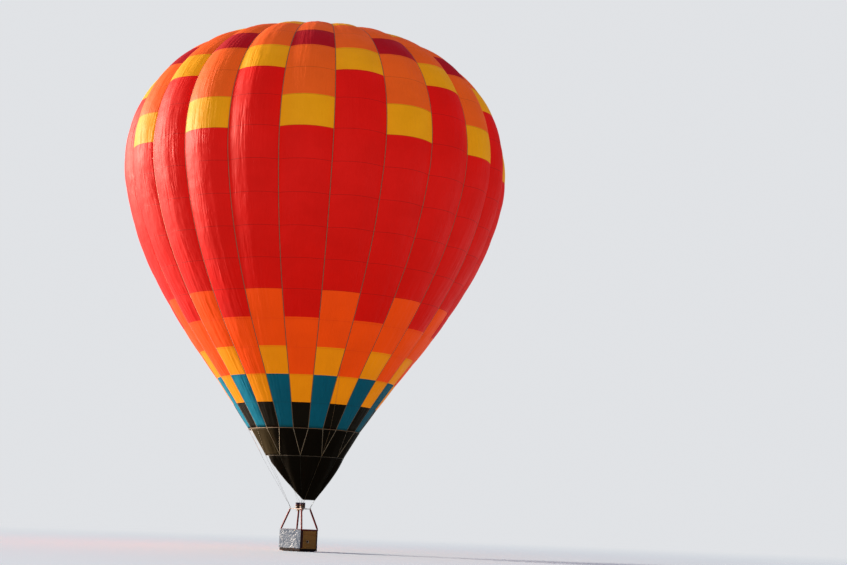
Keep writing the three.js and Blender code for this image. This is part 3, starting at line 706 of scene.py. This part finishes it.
# Skirt and scoop, just inside the stays
print("skirt and scoop")
# The skirt's black and worn colours are its own; its brown at the sunny end is painted light
skirt = {"topRadius": 2.85, "hemHeight": 4.77, "hemRadius": 2.09, "billow": 0.045, "reach": 105.0,
         "stayTop": 6.085, "rows": 15, "columns": 169, "thickness": 0.004, "hemTape": 0.026, "tuckOut": 0.019,
         "tuckUp": 0.031, "black": (0.007, 0.0045, 0.0022, 1), "worn": (0.011, 0.0075, 0.004, 1),
         "paintedSunlight": (0.045, 0.03, 0.012, 1), "paintedSunlightTo": -80, "blackFrom": -73}
scoop = {"bottom": 2.61, "billow": 0.12, "reach": 97.5, "rows": 23, "columns": 157,
         "edgeAt": (30, 45, 60, 75, 82.5, 90, 97.5), "edgeDepth": (1, 0.965, 0.9, 0.81, 0.58, 0.28, 0.12),
         "stayOffset": 0.024, "stayFoot": 2.222, "frameLong": 0.88, "frameShort": 0.6}


# Azimuth a in degrees and height to where the cage of stays runs: straight from the hem's circle to the
# frame's rectangle, whose corners take the azimuths within 15 degrees of each axis in between
def stayAt(a, height):
    run = (skirt["hemHeight"] - height) / (skirt["hemHeight"] - scoop["stayFoot"])
    footX = np.clip((90 - abs(a)) / 15, -1, 1) * scoop["frameLong"] / 2
    footY = np.clip(a / 15, -1, 1) * scoop["frameShort"] / 2
    hem = polar(skirt["hemRadius"] + scoop["stayOffset"], np.radians(a), 0)[..., :2]
    return hem * (1 - run)[..., None] + np.stack([footX, footY], -1) * run[..., None]


# How far cloth swells between stays: none on one (every 30 degrees from 15), a share "near" a quarter of
# the way along, all of it midway
def swell(a, near):
    off = abs(((a - 15) % 30 + 45) % 30 - 15)
    return np.where(off < 7.5, near * off / 7.5, near + (1 - near) * np.sin(np.radians((off - 7.5) * 12)))


# Outward direction of a grid of points from the cross product of its two gradients
def gridNormals(grid):
    normal = np.cross(np.gradient(grid, axis=1), np.gradient(grid, axis=0))
    normal /= np.linalg.norm(normal, axis=-1, keepdims=True)
    return normal * np.sign((normal[..., :2] * grid[..., :2]).sum(-1, keepdims=True))


def clothGrid(grid):
    faces, flat = gridFaces(*grid.shape[:2])
    across = np.linalg.norm(np.diff(grid, axis=0), axis=-1).mean(1)
    down = np.linalg.norm(np.diff(grid, axis=1), axis=-1)
    places = np.stack([np.r_[0, np.cumsum(across)][:, None] + 0 * grid[..., 0],
                       np.concatenate([np.zeros((len(grid), 1)), np.cumsum(down, 1)], 1)], -1)
    return twoSkins(grid, grid - skirt["thickness"] * gridNormals(grid), faces, flat, places)


# Skirt: a cone that swells a little more towards the hem between the stays, its upper edge tucked up behind
# the mouth band
share = np.linspace(0, 1, skirt["rows"])[None, :]
a = np.linspace(-1, 1, skirt["columns"])[:, None] * (skirt["reach"] + half * (1 - 0.93 * share))
ripple = 0.006 * np.sin(np.radians(a * 12) + 3 * share) * share * (1 - share) * 4
r = skirt["topRadius"] + (skirt["hemRadius"] - skirt["topRadius"]) * share - 0.001
r = r + skirt["billow"] * share * swell(a, 0.3 * share ** 2) + ripple * swell(a, 0.5)
tuck = (1 - share) ** 8
z = skirt["stayTop"] - 0.0003 + (skirt["hemHeight"] + 0.0003 - skirt["stayTop"]) * share
skirtGrid = polar(r + skirt["tuckOut"] * tuck, np.radians(a), z + skirt["tuckUp"] * tuck)

# Scoop: from the hem down the stays, swelling between them. Its free edge is level near the front and
# rises steeply to the hem at the sides, its depth read off the table of azimuths
share = np.linspace(0, 1, scoop["rows"])[None, :]
a = np.linspace(-scoop["reach"], scoop["reach"], scoop["columns"])[:, None]
t = np.interp(abs(a), scoop["edgeAt"], scoop["edgeDepth"]) * share
z = skirt["hemHeight"] - 0.0003 + (scoop["bottom"] - skirt["hemHeight"] + 0.0003) * t
most = skirt["billow"] + scoop["billow"] * np.sin(np.pi * t ** 0.8) - skirt["billow"] * t
out = most * swell(a, 0.3 + 0.4 * np.minimum(3 * t, 1)) - scoop["stayOffset"] - 0.001
out = out + 0.008 * np.sin(np.radians(a * 15) + 5 * t) * np.sin(np.pi * share)
scoopGrid = polar(out, np.radians(a), z)
scoopGrid[..., :2] += stayAt(a, z)


# Painted light: the skirt's end on the sunny side is painted brown, as if sunlit, fading softly into the
# black
def skirtPaint(places, patches, weave):
    east, north, height = split(onObject(places.tree))
    azimuth = calc("ARCTAN2", north, east)
    paintedSunlight = mapped(azimuth, math.radians(skirt["paintedSunlightTo"]), math.radians(skirt["blackFrom"]), 1.0, 0.0)
    above = calc("GREATER_THAN", height, skirt["hemHeight"] - lift)
    plain = blend(weave * 0.18 + patches * 0.7, skirt["black"], skirt["worn"])
    return blend(paintedSunlight * above, plain, skirt["paintedSunlight"])


blackCloth = plainCloth("skirt_cloth", skirtPaint, 0.62, 0.02, 0.35, 0.06)
skirtPiece, scoopPiece = (
    makePiece(name + "_cloth", clothGrid(grid), blackCloth, nodes=[name])
    for name, grid in (("skirt", skirtGrid), ("scoop", scoopGrid)))


# A hem of webbing along one edge of a grid, its face square to the cloth and a little off it
def hem(path, normals, width, off):
    return sweep(path + normals * off, roundedBox(width / 2, 0.0035, 0.003, 3), normals)


normals = gridNormals(skirtGrid)
skirtHem = makePiece("skirt_hem", joined([
    hem(skirtGrid[:, -1], normals[:, -1], skirt["hemTape"], 0.003),
    *[hem(skirtGrid[k], normals[k], 0.03, 0.001) for k in (0, -1)]]), dullWebbing)
normals = gridNormals(scoopGrid)
scoopHem = makePiece("scoop_hem", hem(scoopGrid[:, -1], normals[:, -2], 0.028, 0.002), dullWebbing)
gridArea(skirtGrid)
gridArea(scoopGrid)

# Stays: pairs of webbing from the load tapes to the hem, a link at each point, then wires down to the frame
print("stays")
stays = {"webbingWidth": 0.022, "webbingThick": 0.003, "wire": 0.0035, "ferrule": 0.0065}
stayWire = metalMaterial("stay_wire", colour(120, 122, 124), colour(84, 84, 84), 0.4, (1, 1, 0.3), 400.0)
flatStraps, metalParts = [], []
stayBox = roundedBox(stays["webbingWidth"] / 2, stays["webbingThick"] / 2, 0.0014, 3)
for centre, (sx, sy) in zip((45, 135, 225, 315), corners.values()):
    foot = np.array([sx * scoop["frameLong"] / 2, sy * scoop["frameShort"] / 2, scoop["stayFoot"]])
    for a in np.radians((centre - 30, centre, centre + 30)):
        apex = polar(skirt["hemRadius"] + scoop["stayOffset"], a, skirt["hemHeight"])
        for side in np.radians((-half, half)):
            start = polar(skirt["topRadius"] + scoop["stayOffset"], a + side, skirt["stayTop"] + 0.02)
            path = start + (apex + (0, 0, 0.03) - start) * np.linspace(0, 1, 5)[:, None]
            flatStraps.append(sweep(path, stayBox, polar(1, a, 0.45)))
        down = (foot - apex) / np.linalg.norm(foot - apex)
        metalParts += [link(apex + (0, 0, 0.01), (-math.sin(a), math.cos(a)), 0.018, 0.03, 0.004),
                       rod(apex + down * 0.03, foot + (0, 0, 0.02), stays["wire"], 8),
                       rod(apex + down * 0.035, apex + down * 0.085, stays["ferrule"]),
                       rod(foot - down * 0.12, foot - down * 0.06, stays["ferrule"])]
    shackle = foot + (sx * 0.017, sy * 0.017, 0)
    metalParts += [link(foot - (0, 0, 0.005), (sx, sy), 0.024, 0.045, 0.0055, 10, 28),
                   rod(shackle - (0, 0, 0.025), shackle + (0, 0, 0.015), 0.009, 12)]
makePiece("stay_webbing", joined(flatStraps), paleWebbing)
makePiece("stay_wires", joined(metalParts), stayWire,
          nodes=["stays_" + name for name in corners], smooth=40)

# Crown line: leaves a load tape above the mouth, crosses half a gore and runs taut over skirt and scoop to
# the frame
line = {"gore": -15.0, "fromRing": 2.35, "radius": 0.0055, "clear": 0.012}
at = math.radians(line["gore"])
v = np.linspace(line["fromRing"], 0.02, 30)
downGore = onGore(line["gore"], -v / line["fromRing"], v, line["clear"] + envelope["pillow"])
side = abs(np.linspace(-scoop["reach"], scoop["reach"], scoop["columns"]) - line["gore"]).argmin()
downScoop = scoopGrid[side, 1:] + normals[side, 1:] * line["clear"]
linePath = np.concatenate([
    downGore, [polar(envelope["mouthRadius"] + 0.02, at, skirt["stayTop"] - 0.05)],
    [polar(skirt["hemRadius"] + scoop["stayOffset"] + 0.02, at, skirt["hemHeight"] + 0.05)], downScoop[2::3],
    [(scoop["frameLong"] / 2 + 0.02, 0.01 - scoop["frameShort"] / 2, 2.25)]])
makePiece("crown_line", joined([
    sweep(linePath, circle(line["radius"], 8), (0.31, 0.95, 0.02)),
    link(downGore[0], polar(1, at - math.radians(half), 0)[:2], 0.02, 0.04, 0.004)]),
    webbing)

# Burner frame: a rectangle of square tube with round corner sockets, pin bearings and bolts
print("burner")
height = 2.15  # of both gimbal axes above the ground
rig = {"long": 0.44, "short": 0.3, "tube": 0.032, "gimbalLong": 0.365, "gimbalShort": 0.22,
       "gimbalBar": 0.024, "pin": 0.009}
socket = [(0, -0.032), (0.027, -0.032), (0.031, -0.028), (0.031, 0.02), (0.028, 0.026), (0.02, 0.03),
          (0, 0.032)]
steelFrame = metalMaterial("frame_steel", colour(190, 166, 158), colour(128, 110, 104), 0.52, (1, 1, 1),
                           90.0, 0.25)


# A level bar at the gimbals' height from x, y to x, y
def beam(x0, y0, x1, y1, *size):
    return bar((x0, y0, height), (x1, y1, height), *size)


parts = []
for s in (-1, 1):
    x, y = s * rig["long"], s * rig["short"]
    parts += [beam(-rig["long"], y, rig["long"], y, rig["tube"], rig["tube"]),
              beam(x, -rig["short"], x, rig["short"], rig["tube"], rig["tube"]),
              beam(x, -0.026, x, 0.026, 0.044, 0.052, 0.007),
              turned([(0, 0.026), (0.007, 0.026), (0.007, 0.031), (0, 0.031)], 6, x, 0.014, height)]
for sx, sy in corners.values():
    x, y = sx * rig["long"], sy * rig["short"]
    parts += [turned(socket, 24, x, y, height),
              turned([(0, 0.03), (0.006, 0.03), (0.006, 0.056), (0, 0.058)], 12, x, y, height)]
makePiece("frame_tubes", joined(parts), steelFrame, nodes=["burner_frame"], smooth=40)
parts = []
for s in (-1, 1):
    x, y, past = s * rig["gimbalLong"], s * rig["gimbalShort"], rig["gimbalShort"] + rig["gimbalBar"] / 2
    parts += [beam(-rig["gimbalLong"], y, rig["gimbalLong"], y, rig["gimbalBar"], rig["gimbalBar"]),
              beam(x, -past, x, past, rig["gimbalBar"], rig["gimbalBar"]),
              rod((x, 0, height), (s * (rig["long"] + 0.018), 0, height), rig["pin"], 16),
              rod((s * (rig["long"] + 0.016), 0, height), (s * (rig["long"] + 0.024), 0, height), 0.013, 6),
              beam(-0.024, y, 0.024, y, 0.032, 0.044, 0.006)]
makePiece("gimbal_tubes", joined(parts), steelFrame, "gimbal", ["gimbal_ring"], smooth=40)


# Burner steel: straw to blue to brown heat colours, strongest at the mouth of each can
def heatTint(places):
    hot = mapped(split(places)[2], height + 0.12 - lift, height + 0.32 - lift)
    return ramp(hot + effect(weathering, places, 9.0) * 0.25, [
        (0.0, colour(104, 98, 96)), (0.4, colour(124, 96, 72)), (0.65, colour(96, 66, 92)),
        (0.85, colour(58, 64, 92)), (1.0, colour(52, 44, 40))])


burnerSteel = metalMaterial("burner_steel", None, None, 0.42, (1, 1, 0.1), 120.0, paint=heatTint)
brass = metalMaterial("brass_fittings", colour(186, 146, 72), colour(120, 92, 50), 0.34, (1, 1, 1), 60.0)
enamel = metalMaterial("handle_enamel", colour(26, 26, 28), colour(44, 40, 38), 0.45, (1, 1, 1), 60.0, 0.0)
can = {
    "x": 0.165, "low": height + 0.026, "coilRadius": 0.121, "coilTube": 0.006, "coilTurns": 9,
    "coilLow": 0.075, "coilRise": 0.17, "jetRing": 0.07,
    "wall": ((0.052, -0.05), (0.052, 0), (0.116, 0), (0.126, 0.006), (0.136, 0.018), (0.14, 0.034),
             (0.14, 0.09), (0.1372, 0.094), (0.1372, 0.1), (0.14, 0.104), (0.14, 0.276), (0.1412, 0.283),
             (0.14, 0.29), (0.1355, 0.29), (0.1352, 0.04), (0.13, 0.024), (0.118, 0.008), (0.046, 0.006)),
    "pilot": ((0, 0.004), (0.03, 0.004), (0.03, 0.052), (0.02, 0.062), (0.011, 0.086), (0, 0.09)),
    "valve": ((0, -0.14), (0.018, -0.14), (0.02, -0.132), (0.02, -0.118), (0.026, -0.114), (0.026, -0.072),
              (0, -0.072)),
    "gripHalfWidths": (0.008, 0.009, 0.0115, 0.0115),
}
steelParts = [beam(0, -0.19, 0, 0.19, rig["tube"], rig["tube"]),
              bar((-0.225, 0, height - 0.041), (0.225, 0, height - 0.041), 0.084, 0.058, 0.01),
              rod((0, -0.232, height), (0, 0.232, height), rig["pin"], 16)]
brassParts, handleParts = [], []
# Vaporising coil: a helix of tube just inside the can, with its height growing evenly with the turns
t = np.linspace(0, 2 * np.pi * can["coilTurns"], 24 * can["coilTurns"] + 1)
helix = polar(can["coilRadius"], t, can["coilLow"] + can["coilRise"] * t / t[-1])
for x in (-can["x"], can["x"]):
    foot = np.array([x, 0, can["low"]])
    steelParts += [turned(can["wall"], 48, *foot), sweep(foot + helix, circle(can["coilTube"], 7))]
    brassParts.append(sweep(foot + polar(can["jetRing"], turns(24), 0.05), circle(0.009, 8), closed=True))
    jets = foot + polar(can["jetRing"], turns(12), 0.052)
    brassParts += [rod(jet, jet + (0, 0, 0.02), 0.004, 6) for jet in jets]
    brassParts.append(turned(can["pilot"], 20, *foot))
    # Blast valve under the can: body, cross pipe and a flat lever that reaches out on the banner's side
    brassParts += [turned(can["valve"], 20, x, 0, height),
                   rod((x - 0.045, 0, height - 0.095), (x + 0.045, 0, height - 0.095), 0.01, 10)]
    grip = [(x, -0.02, height - 0.107), (x, -0.07, height - 0.108), (x, -0.11, height - 0.113),
            (x, -0.15, height - 0.114)]
    handleParts.append(sweep(grip, [roundedBox(wide, 0.0055, 0.004, 3) for wide in can["gripHalfWidths"]]))
makePiece("burner_cans", joined(steelParts), burnerSteel, "burner", ["double_burner"],
          smooth=40)
makePiece("burner_fittings", joined(brassParts), brass, "burner", smooth=40)
makePiece("blast_handles", joined(handleParts), enamel, "burner")

# Uprights: leather sleeves with a seam down the outside, drawn in by a cord at each end
print("basket")
sleeve = {"foot": (0.792, 0.542, 1.1203), "head": (0.44, 0.3, 2.1177), "radius": 0.0435, "steps": 41,
          "sides": 28}
redLeather = leatherMaterial("red_leather", colour(118, 12, 20), colour(146, 26, 30), colour(170, 120, 100),
                             lines=(0.012, 0.124))
t, around = np.linspace(0, 1, sleeve["steps"]), turns(sleeve["sides"])
gathered = 0.007 * np.exp(-((t - 0.965) / 0.012) ** 2) + 0.006 * np.exp(-((t - 0.03) / 0.012) ** 2)
shut = np.where((t < 0.001) | (t > 0.999), 0.8, 1)
seamRidge = 0.003 * np.exp(-((around - np.pi / 2) / 0.16) ** 2)
for name, (sx, sy) in corners.items():
    # Radius along the sleeve: full over most of it, gathered at both ends, with a slow slack ripple
    slack = 0.0035 * np.sin(np.pi * t) + 0.0016 * np.sin(2 * np.pi * (5 * t + 0.13 * (sx + 2 * sy)))
    full = (sleeve["radius"] + slack - gathered) * shut
    section = polar(full[:, None] + seamRidge, around, 0)[..., :2]
    low, high = np.array(sleeve["foot"]) * (sx, sy, 1), np.array(sleeve["head"]) * (sx, sy, 1)
    tube = sweep(low + (high - low) * t[:, None], section, (sx, sy, 0.35))
    piece = makePiece("sleeve_" + name, tube, redLeather, nodes=["upright_" + name])

basket = {"long": 0.83, "short": 0.58, "wall": 0.04, "corner": 0.09, "low": 0.0603, "top": 1.0497,
          "height": 1.12, "rimHeight": 0.07, "rimWidth": 0.084, "rimPower": 0.62, "holeWidth": 0.17,
          "holeHeight": 0.115, "holeCentre": 0.5, "holeSide": 0.13}
wicker = {"stakes": 80, "stepsPerStake": 4, "row": 0.0171, "stepsPerRow": 2, "relief": 0.0055}


# Points round the middle of the basket's wall at shares 0 to 1 of the way round, and the whole way's length:
# rounded corners of 13 points each, joined by straight runs, read off by length. "out" moves them outwards
def roundWall(share, height, out=0.0):
    inset = basket["wall"] / 2
    a, b, r = basket["long"] - inset, basket["short"] - inset, basket["corner"] - inset
    ways, signs = cornerTurns(13)
    loop = np.concatenate([signs * (a - r, b - r) + r * ways, ways], 1)
    loop = np.concatenate([loop, loop[:1]])
    length = lengthAlong(loop[:, :2])
    x, y, dx, dy = (np.interp(share % 1 * length[-1], length, column) for column in loop.T)
    size = np.hypot(dx, dy)
    return np.stack(np.broadcast_arrays(x + out * dx / size, y + out * dy / size, height), -1), length[-1]


# Places on a wall's cloth: the way round, up to and with the end of the last step, and a distance across
def wallPlaces(share, around, across):
    return np.stack(np.broadcast_arrays(np.append(share, 1.0) * around, across), -1)


# Wicker: strands in level rows, each round in section, that pass outside one stake and inside the next.
# Out of the wall's middle: base + the row's roundness * (a little + relief * cosine of the stake, in turn)
columns = wicker["stakes"] * wicker["stepsPerStake"]
share = np.arange(columns)[None, :] / columns
rows = round((basket["top"] - basket["low"]) / wicker["row"])
step = np.arange(rows * wicker["stepsPerRow"] + 1)[:, None]
rise = (basket["top"] - basket["low"]) * step / step[-1]
roundness = np.sin(np.pi * (step % wicker["stepsPerRow"]) / wicker["stepsPerRow"])
over = np.cos(np.pi * (share * wicker["stakes"] + step // wicker["stepsPerRow"]))
skins = []
for side in (1, -1):
    out = basket["wall"] / 2 - 0.0075 + roundness * (0.002 + wicker["relief"] * over * side)
    skin, around = roundWall(share, basket["low"] + rise, side * out)
    skins.append(skin)
faces, flat = gridFaces(step.size, columns, False, True)
x, y, z = skins[0].reshape(-1, 3)[faces].mean(1).T
solid = (abs(y + np.sign(x) * basket["holeSide"]) >= basket["holeWidth"] / 2 - 0.004) | (
    abs(z - basket["holeCentre"]) >= basket["holeHeight"] / 2 - 0.003) | (abs(x) <= 0.7)
wicker["stakesPerMetre"] = wicker["stakes"] / around
# The inner skin carries the inside attribute, where the cane material paints shade
makePiece("wicker_walls", twoSkins(*skins, faces[solid], flat[solid], wallPlaces(share, around, rise)),
          caneMaterial("wicker"), nodes=["basket_walls"],
          extra={"inside": np.repeat([0.0, 1.0], step.size * columns)})
paleHide = leatherMaterial("pale_hide", colour(236, 226, 206), colour(206, 190, 164), colour(120, 90, 64))
lips = []
for s in (-1, 1):
    # A bound lip round the foot hole, as deep as the wall and a little proud of it on both sides
    along, rise = roundedBox(basket["holeWidth"] / 2 - 0.003, basket["holeHeight"] / 2 - 0.003, 0.03, 7).T
    path = np.stack([0 * along + s * (basket["long"] - basket["wall"] / 2), along - s * basket["holeSide"],
                     rise + basket["holeCentre"]], 1)
    lips.append(sweep(path, roundedBox(0.006, 0.024, 0.0055, 4), (1, 0, 0), closed=True))
makePiece("foot_hole_lips", joined(lips), paleHide)

# Rim: padding under leather round the top of the wall, pulled in a little by lacing every few centimetres
share = np.arange(240) / 240
path, _ = roundWall(share, basket["height"] - basket["rimHeight"] / 2)
way = circle(1, 20)
squircle = np.sign(way) * abs(way) ** basket["rimPower"] * (basket["rimWidth"] / 2, basket["rimHeight"] / 2)
pull = 1 - 0.035 * (0.5 + 0.5 * np.cos(2 * np.pi * 60 * share)) ** 3
rim = sweep(path, squircle * pull[:, None, None] * 0.995, closed=True)
# A stitched guard down each corner: a grid round it and down it, 5 mm thick with a soft edge
guard = {"halfWidth": 0.112, "halfBend": 0.0707, "low": 0.17, "height": 0.89}
w, h = np.meshgrid(np.linspace(-1, 1, 25), np.linspace(0, 1, 31))
bend = np.clip(guard["halfWidth"] * w / guard["halfBend"], -1, 1)
rest = guard["halfWidth"] * w - guard["halfBend"] * bend
edge = 1 - np.maximum(abs(w), abs(2 * h - 1)) ** 14
faces, flat = gridFaces(*w.shape)
places = np.stack([h * guard["height"], 0.068 - 0.052 * abs(w)], -1)
leatherParts = [rim]
for middle, (sx, sy) in zip((45, 135, 225, 315), corners.values()):
    angle = np.radians(middle + 45 * bend)
    r = basket["corner"]
    centre = (sx * (basket["long"] - r), sy * (basket["short"] - r), guard["low"])
    beside = centre + polar(rest, angle + math.pi / 2, 0)
    skins = [beside + polar(r + out, angle, guard["height"] * h) for out in (0.0012 + 0.0048 * edge, 0.0002)]
    leatherParts.append(twoSkins(*skins, faces, flat, places))
rimPiece = makePiece("leather_rim", joined(leatherParts), leatherMaterial(
    "rim_leather", colour(104, 12, 18), colour(130, 28, 30), colour(196, 170, 140), lines=(0.018, 0.028)),
    nodes=["rim_and_corner_guards"])
rimPiece.data.materials.append(leatherMaterial(
    "corner_hide", colour(58, 16, 16), colour(80, 34, 28), colour(150, 110, 84), lines=(0.018, 0.028)))
onGuards = np.arange(len(rimPiece.data.polygons)) >= sum(len(run) for run in rim["faces"])
rimPiece.data.polygons.foreach_set("material_index", onGuards.astype(np.int32))

# Foot edging: a band of rough hide round the foot of the wall, laced along its top
edging = {"low": 0.031, "height": 0.118, "back": 0.0212, "front": 0.0265, "columns": 200, "rows": 9}
darkHide = leatherMaterial("dark_hide", colour(30, 18, 20), colour(46, 30, 28), colour(96, 72, 56),
                           lines=(0.012,), perMetre=180.0, roughness=0.7, gloss=0.08)
share = np.arange(edging["columns"])[None, :] / edging["columns"]
rise = np.linspace(0, 1, edging["rows"])[:, None]
swellOut = edging["front"] + 0.002 * np.sin(np.pi * rise)
swellOut = swellOut + 0.0008 * np.sin(2 * np.pi * 50 * share) * rise ** 3
front, around = roundWall(share, edging["low"] + edging["height"] * rise, swellOut)
back, _ = roundWall(share, edging["low"] + edging["height"] * rise, edging["back"])
faces, flat = gridFaces(edging["rows"], edging["columns"], False, True)
edgingPiece = makePiece("hide_edging", twoSkins(front, back, faces, flat, wallPlaces(
    share, around, edging["height"] * (1 - rise))), darkHide, nodes=["foot_edging"])

# Banner: thin cloth hung from the rim, slack folds running down from its ties and a free, uneven foot
banner = {"halfWidth": 0.81, "top": 1.114, "foot": 0.162, "ties": 7, "thickness": 0.0016, "columns": 121,
          "rows": 61, "clear": 0.0265, "tiesHalf": 0.79, "eyelet": 0.007, "paintedHollowShade": (0.08, 0.112, 0.178, 1),
          "paintedCrestLight": (0.135, 0.168, 0.235, 1)}
w, h = np.meshgrid(np.linspace(-1, 1, banner["columns"]), np.linspace(0, 1, banner["rows"]))
scallop = abs(np.sin(np.pi * banner["ties"] * (w + 1) / 2))
fold = np.sin(9.5 * w + 3 * h) * 0.35 + np.sin(17 * w - 2.2 * h + 1.3) * 0.25 + np.sin(31 * w + 5 * h) * 0.12
droop = 0.012 * (0.5 + 0.5 * fold) * (0.3 + 0.7 * h) + 0.006 * scallop * np.exp(-6 * h)
z = banner["top"] - (banner["top"] - banner["foot"]) * h
z = z - 0.006 * scallop * (1 - h) + 0.006 * np.sin(6 * w) * h ** 4
bannerGrid = np.stack([banner["halfWidth"] * w, -basket["short"] - banner["clear"] - droop, z], -1)
# Its crumples: sharp ridges where a slow noise crosses its middle, drawn out along a slanting direction
silver, tree, skin = newMaterial("banner_cloth", gloss=0.16)
slanted = put(tree, "Mapping", {"Vector": onCloth(tree), "Rotation": (0, 0, math.radians(-38))})
ridges = [calc("SUBTRACT", 1.0, calc("ABSOLUTE", noise(slanted, scale, stretch, 1.5) - 0.5) * 5.0, clamp=True)
          for scale, stretch in ((1.9, (1.0, 0.4, 1)), (4.4, (0.7, 1.0, 1)))]
# Painted shade and light of the crumples: a slow noise mixes a darker colour where the cloth folds in and a
# lighter one on its ridges
crumpleShadeAndLight = mapped(noise(slanted, 3.2, (1.0, 0.5, 1)), 0.36, 0.64)
fill(skin, {"Base Color": blend(crumpleShadeAndLight, banner["paintedHollowShade"], banner["paintedCrestLight"]),
            "Roughness": effect(weathering, onCloth(tree), 1.6) * 0.12 + 0.33,
            "Normal": bump(ridges[0] * 0.021 + ridges[1] * 0.009)})
bannerPiece = makePiece("hung_banner", twoSkins(
    bannerGrid, bannerGrid + (0, banner["thickness"], 0), *gridFaces(*w.shape),
    np.stack([w * banner["halfWidth"], (1 - h) * 0.95], -1)), silver, nodes=["banner"])
ring = polar(banner["eyelet"], turns(12), 0)[:, [0, 2, 1]]
ring = ring + (0, -basket["short"] - 0.0335, banner["top"] - 0.022)
eyelets = [sweep(ring + (x, 0, 0), circle(0.002, 6), (0, 1, 0), closed=True)
           for x in np.linspace(-banner["tiesHalf"], banner["tiesHalf"], banner["ties"] + 1)]
eyeletPiece = makePiece("banner_eyelets", joined(eyelets), brass)

# Fuel cylinders: drawn shells with a foot ring, a guard collar round the valves and two webbing straps
t = np.linspace(0, np.pi / 2, 7)
cylinder = {
    "x": 0.64, "y": 0.39, "strapRadius": 0.1415, "straps": (0.18, 0.52),
    "body": [(0.118, 0), (0.122, 0), (0.122, 0.012),
             *zip(0.1 + 0.0395 * np.sin(t), 0.055 - 0.045 * np.cos(t)),
             (0.1395, 0.3), (0.14, 0.303), (0.14, 0.311), (0.1395, 0.314),
             *zip(0.075 + 0.0645 * np.cos(t), 0.64 + 0.062 * np.sin(t)), (0.03, 0.704), (0, 0.704)],
    "collar": ((0.092, 0.690), (0.096, 0.690), (0.096, 0.772), (0.098, 0.776), (0.094, 0.78), (0.092, 0.776)),
    "stem": ((0, 0.7), (0.022, 0.7), (0.022, 0.716), (0.014, 0.72), (0.014, 0.756), (0, 0.758)),
    "wheel": ((0, 0.757), (0.026, 0.757), (0.029, 0.762), (0.029, 0.772), (0.026, 0.777), (0, 0.777)),
}
shells, valves, belts = [], [], []
for sx, sy in corners.values():
    foot = np.array([sx * cylinder["x"], sy * cylinder["y"], basket["low"]])
    shells += [turned(cylinder["body"], 40, *foot), turned(cylinder["collar"], 40, *foot)]
    valves += [turned(cylinder["stem"], 16, *foot),
               rod(foot + (-sx * 0.055, 0, 0.735), foot + (sx * 0.03, 0, 0.735), 0.009, 10),
               turned(cylinder["wheel"], 18, *foot)]
    belts += [sweep(foot + polar(cylinder["strapRadius"], turns(40), up), roundedBox(0.0018, 0.02, 0.0015, 3),
                    closed=True) for up in cylinder["straps"]]
makePiece("cylinder_shells", joined(shells), alloy,
          nodes=["fuel_cylinder_" + name for name in corners], smooth=40)
makePiece("cylinder_valves", joined(valves), brass, smooth=40)
makePiece("cylinder_straps", joined(belts), dullWebbing)

wood = woodMaterial("floor_wood")
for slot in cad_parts["floor_and_runners"].material_slots:
    slot.material = wood

print("finished")
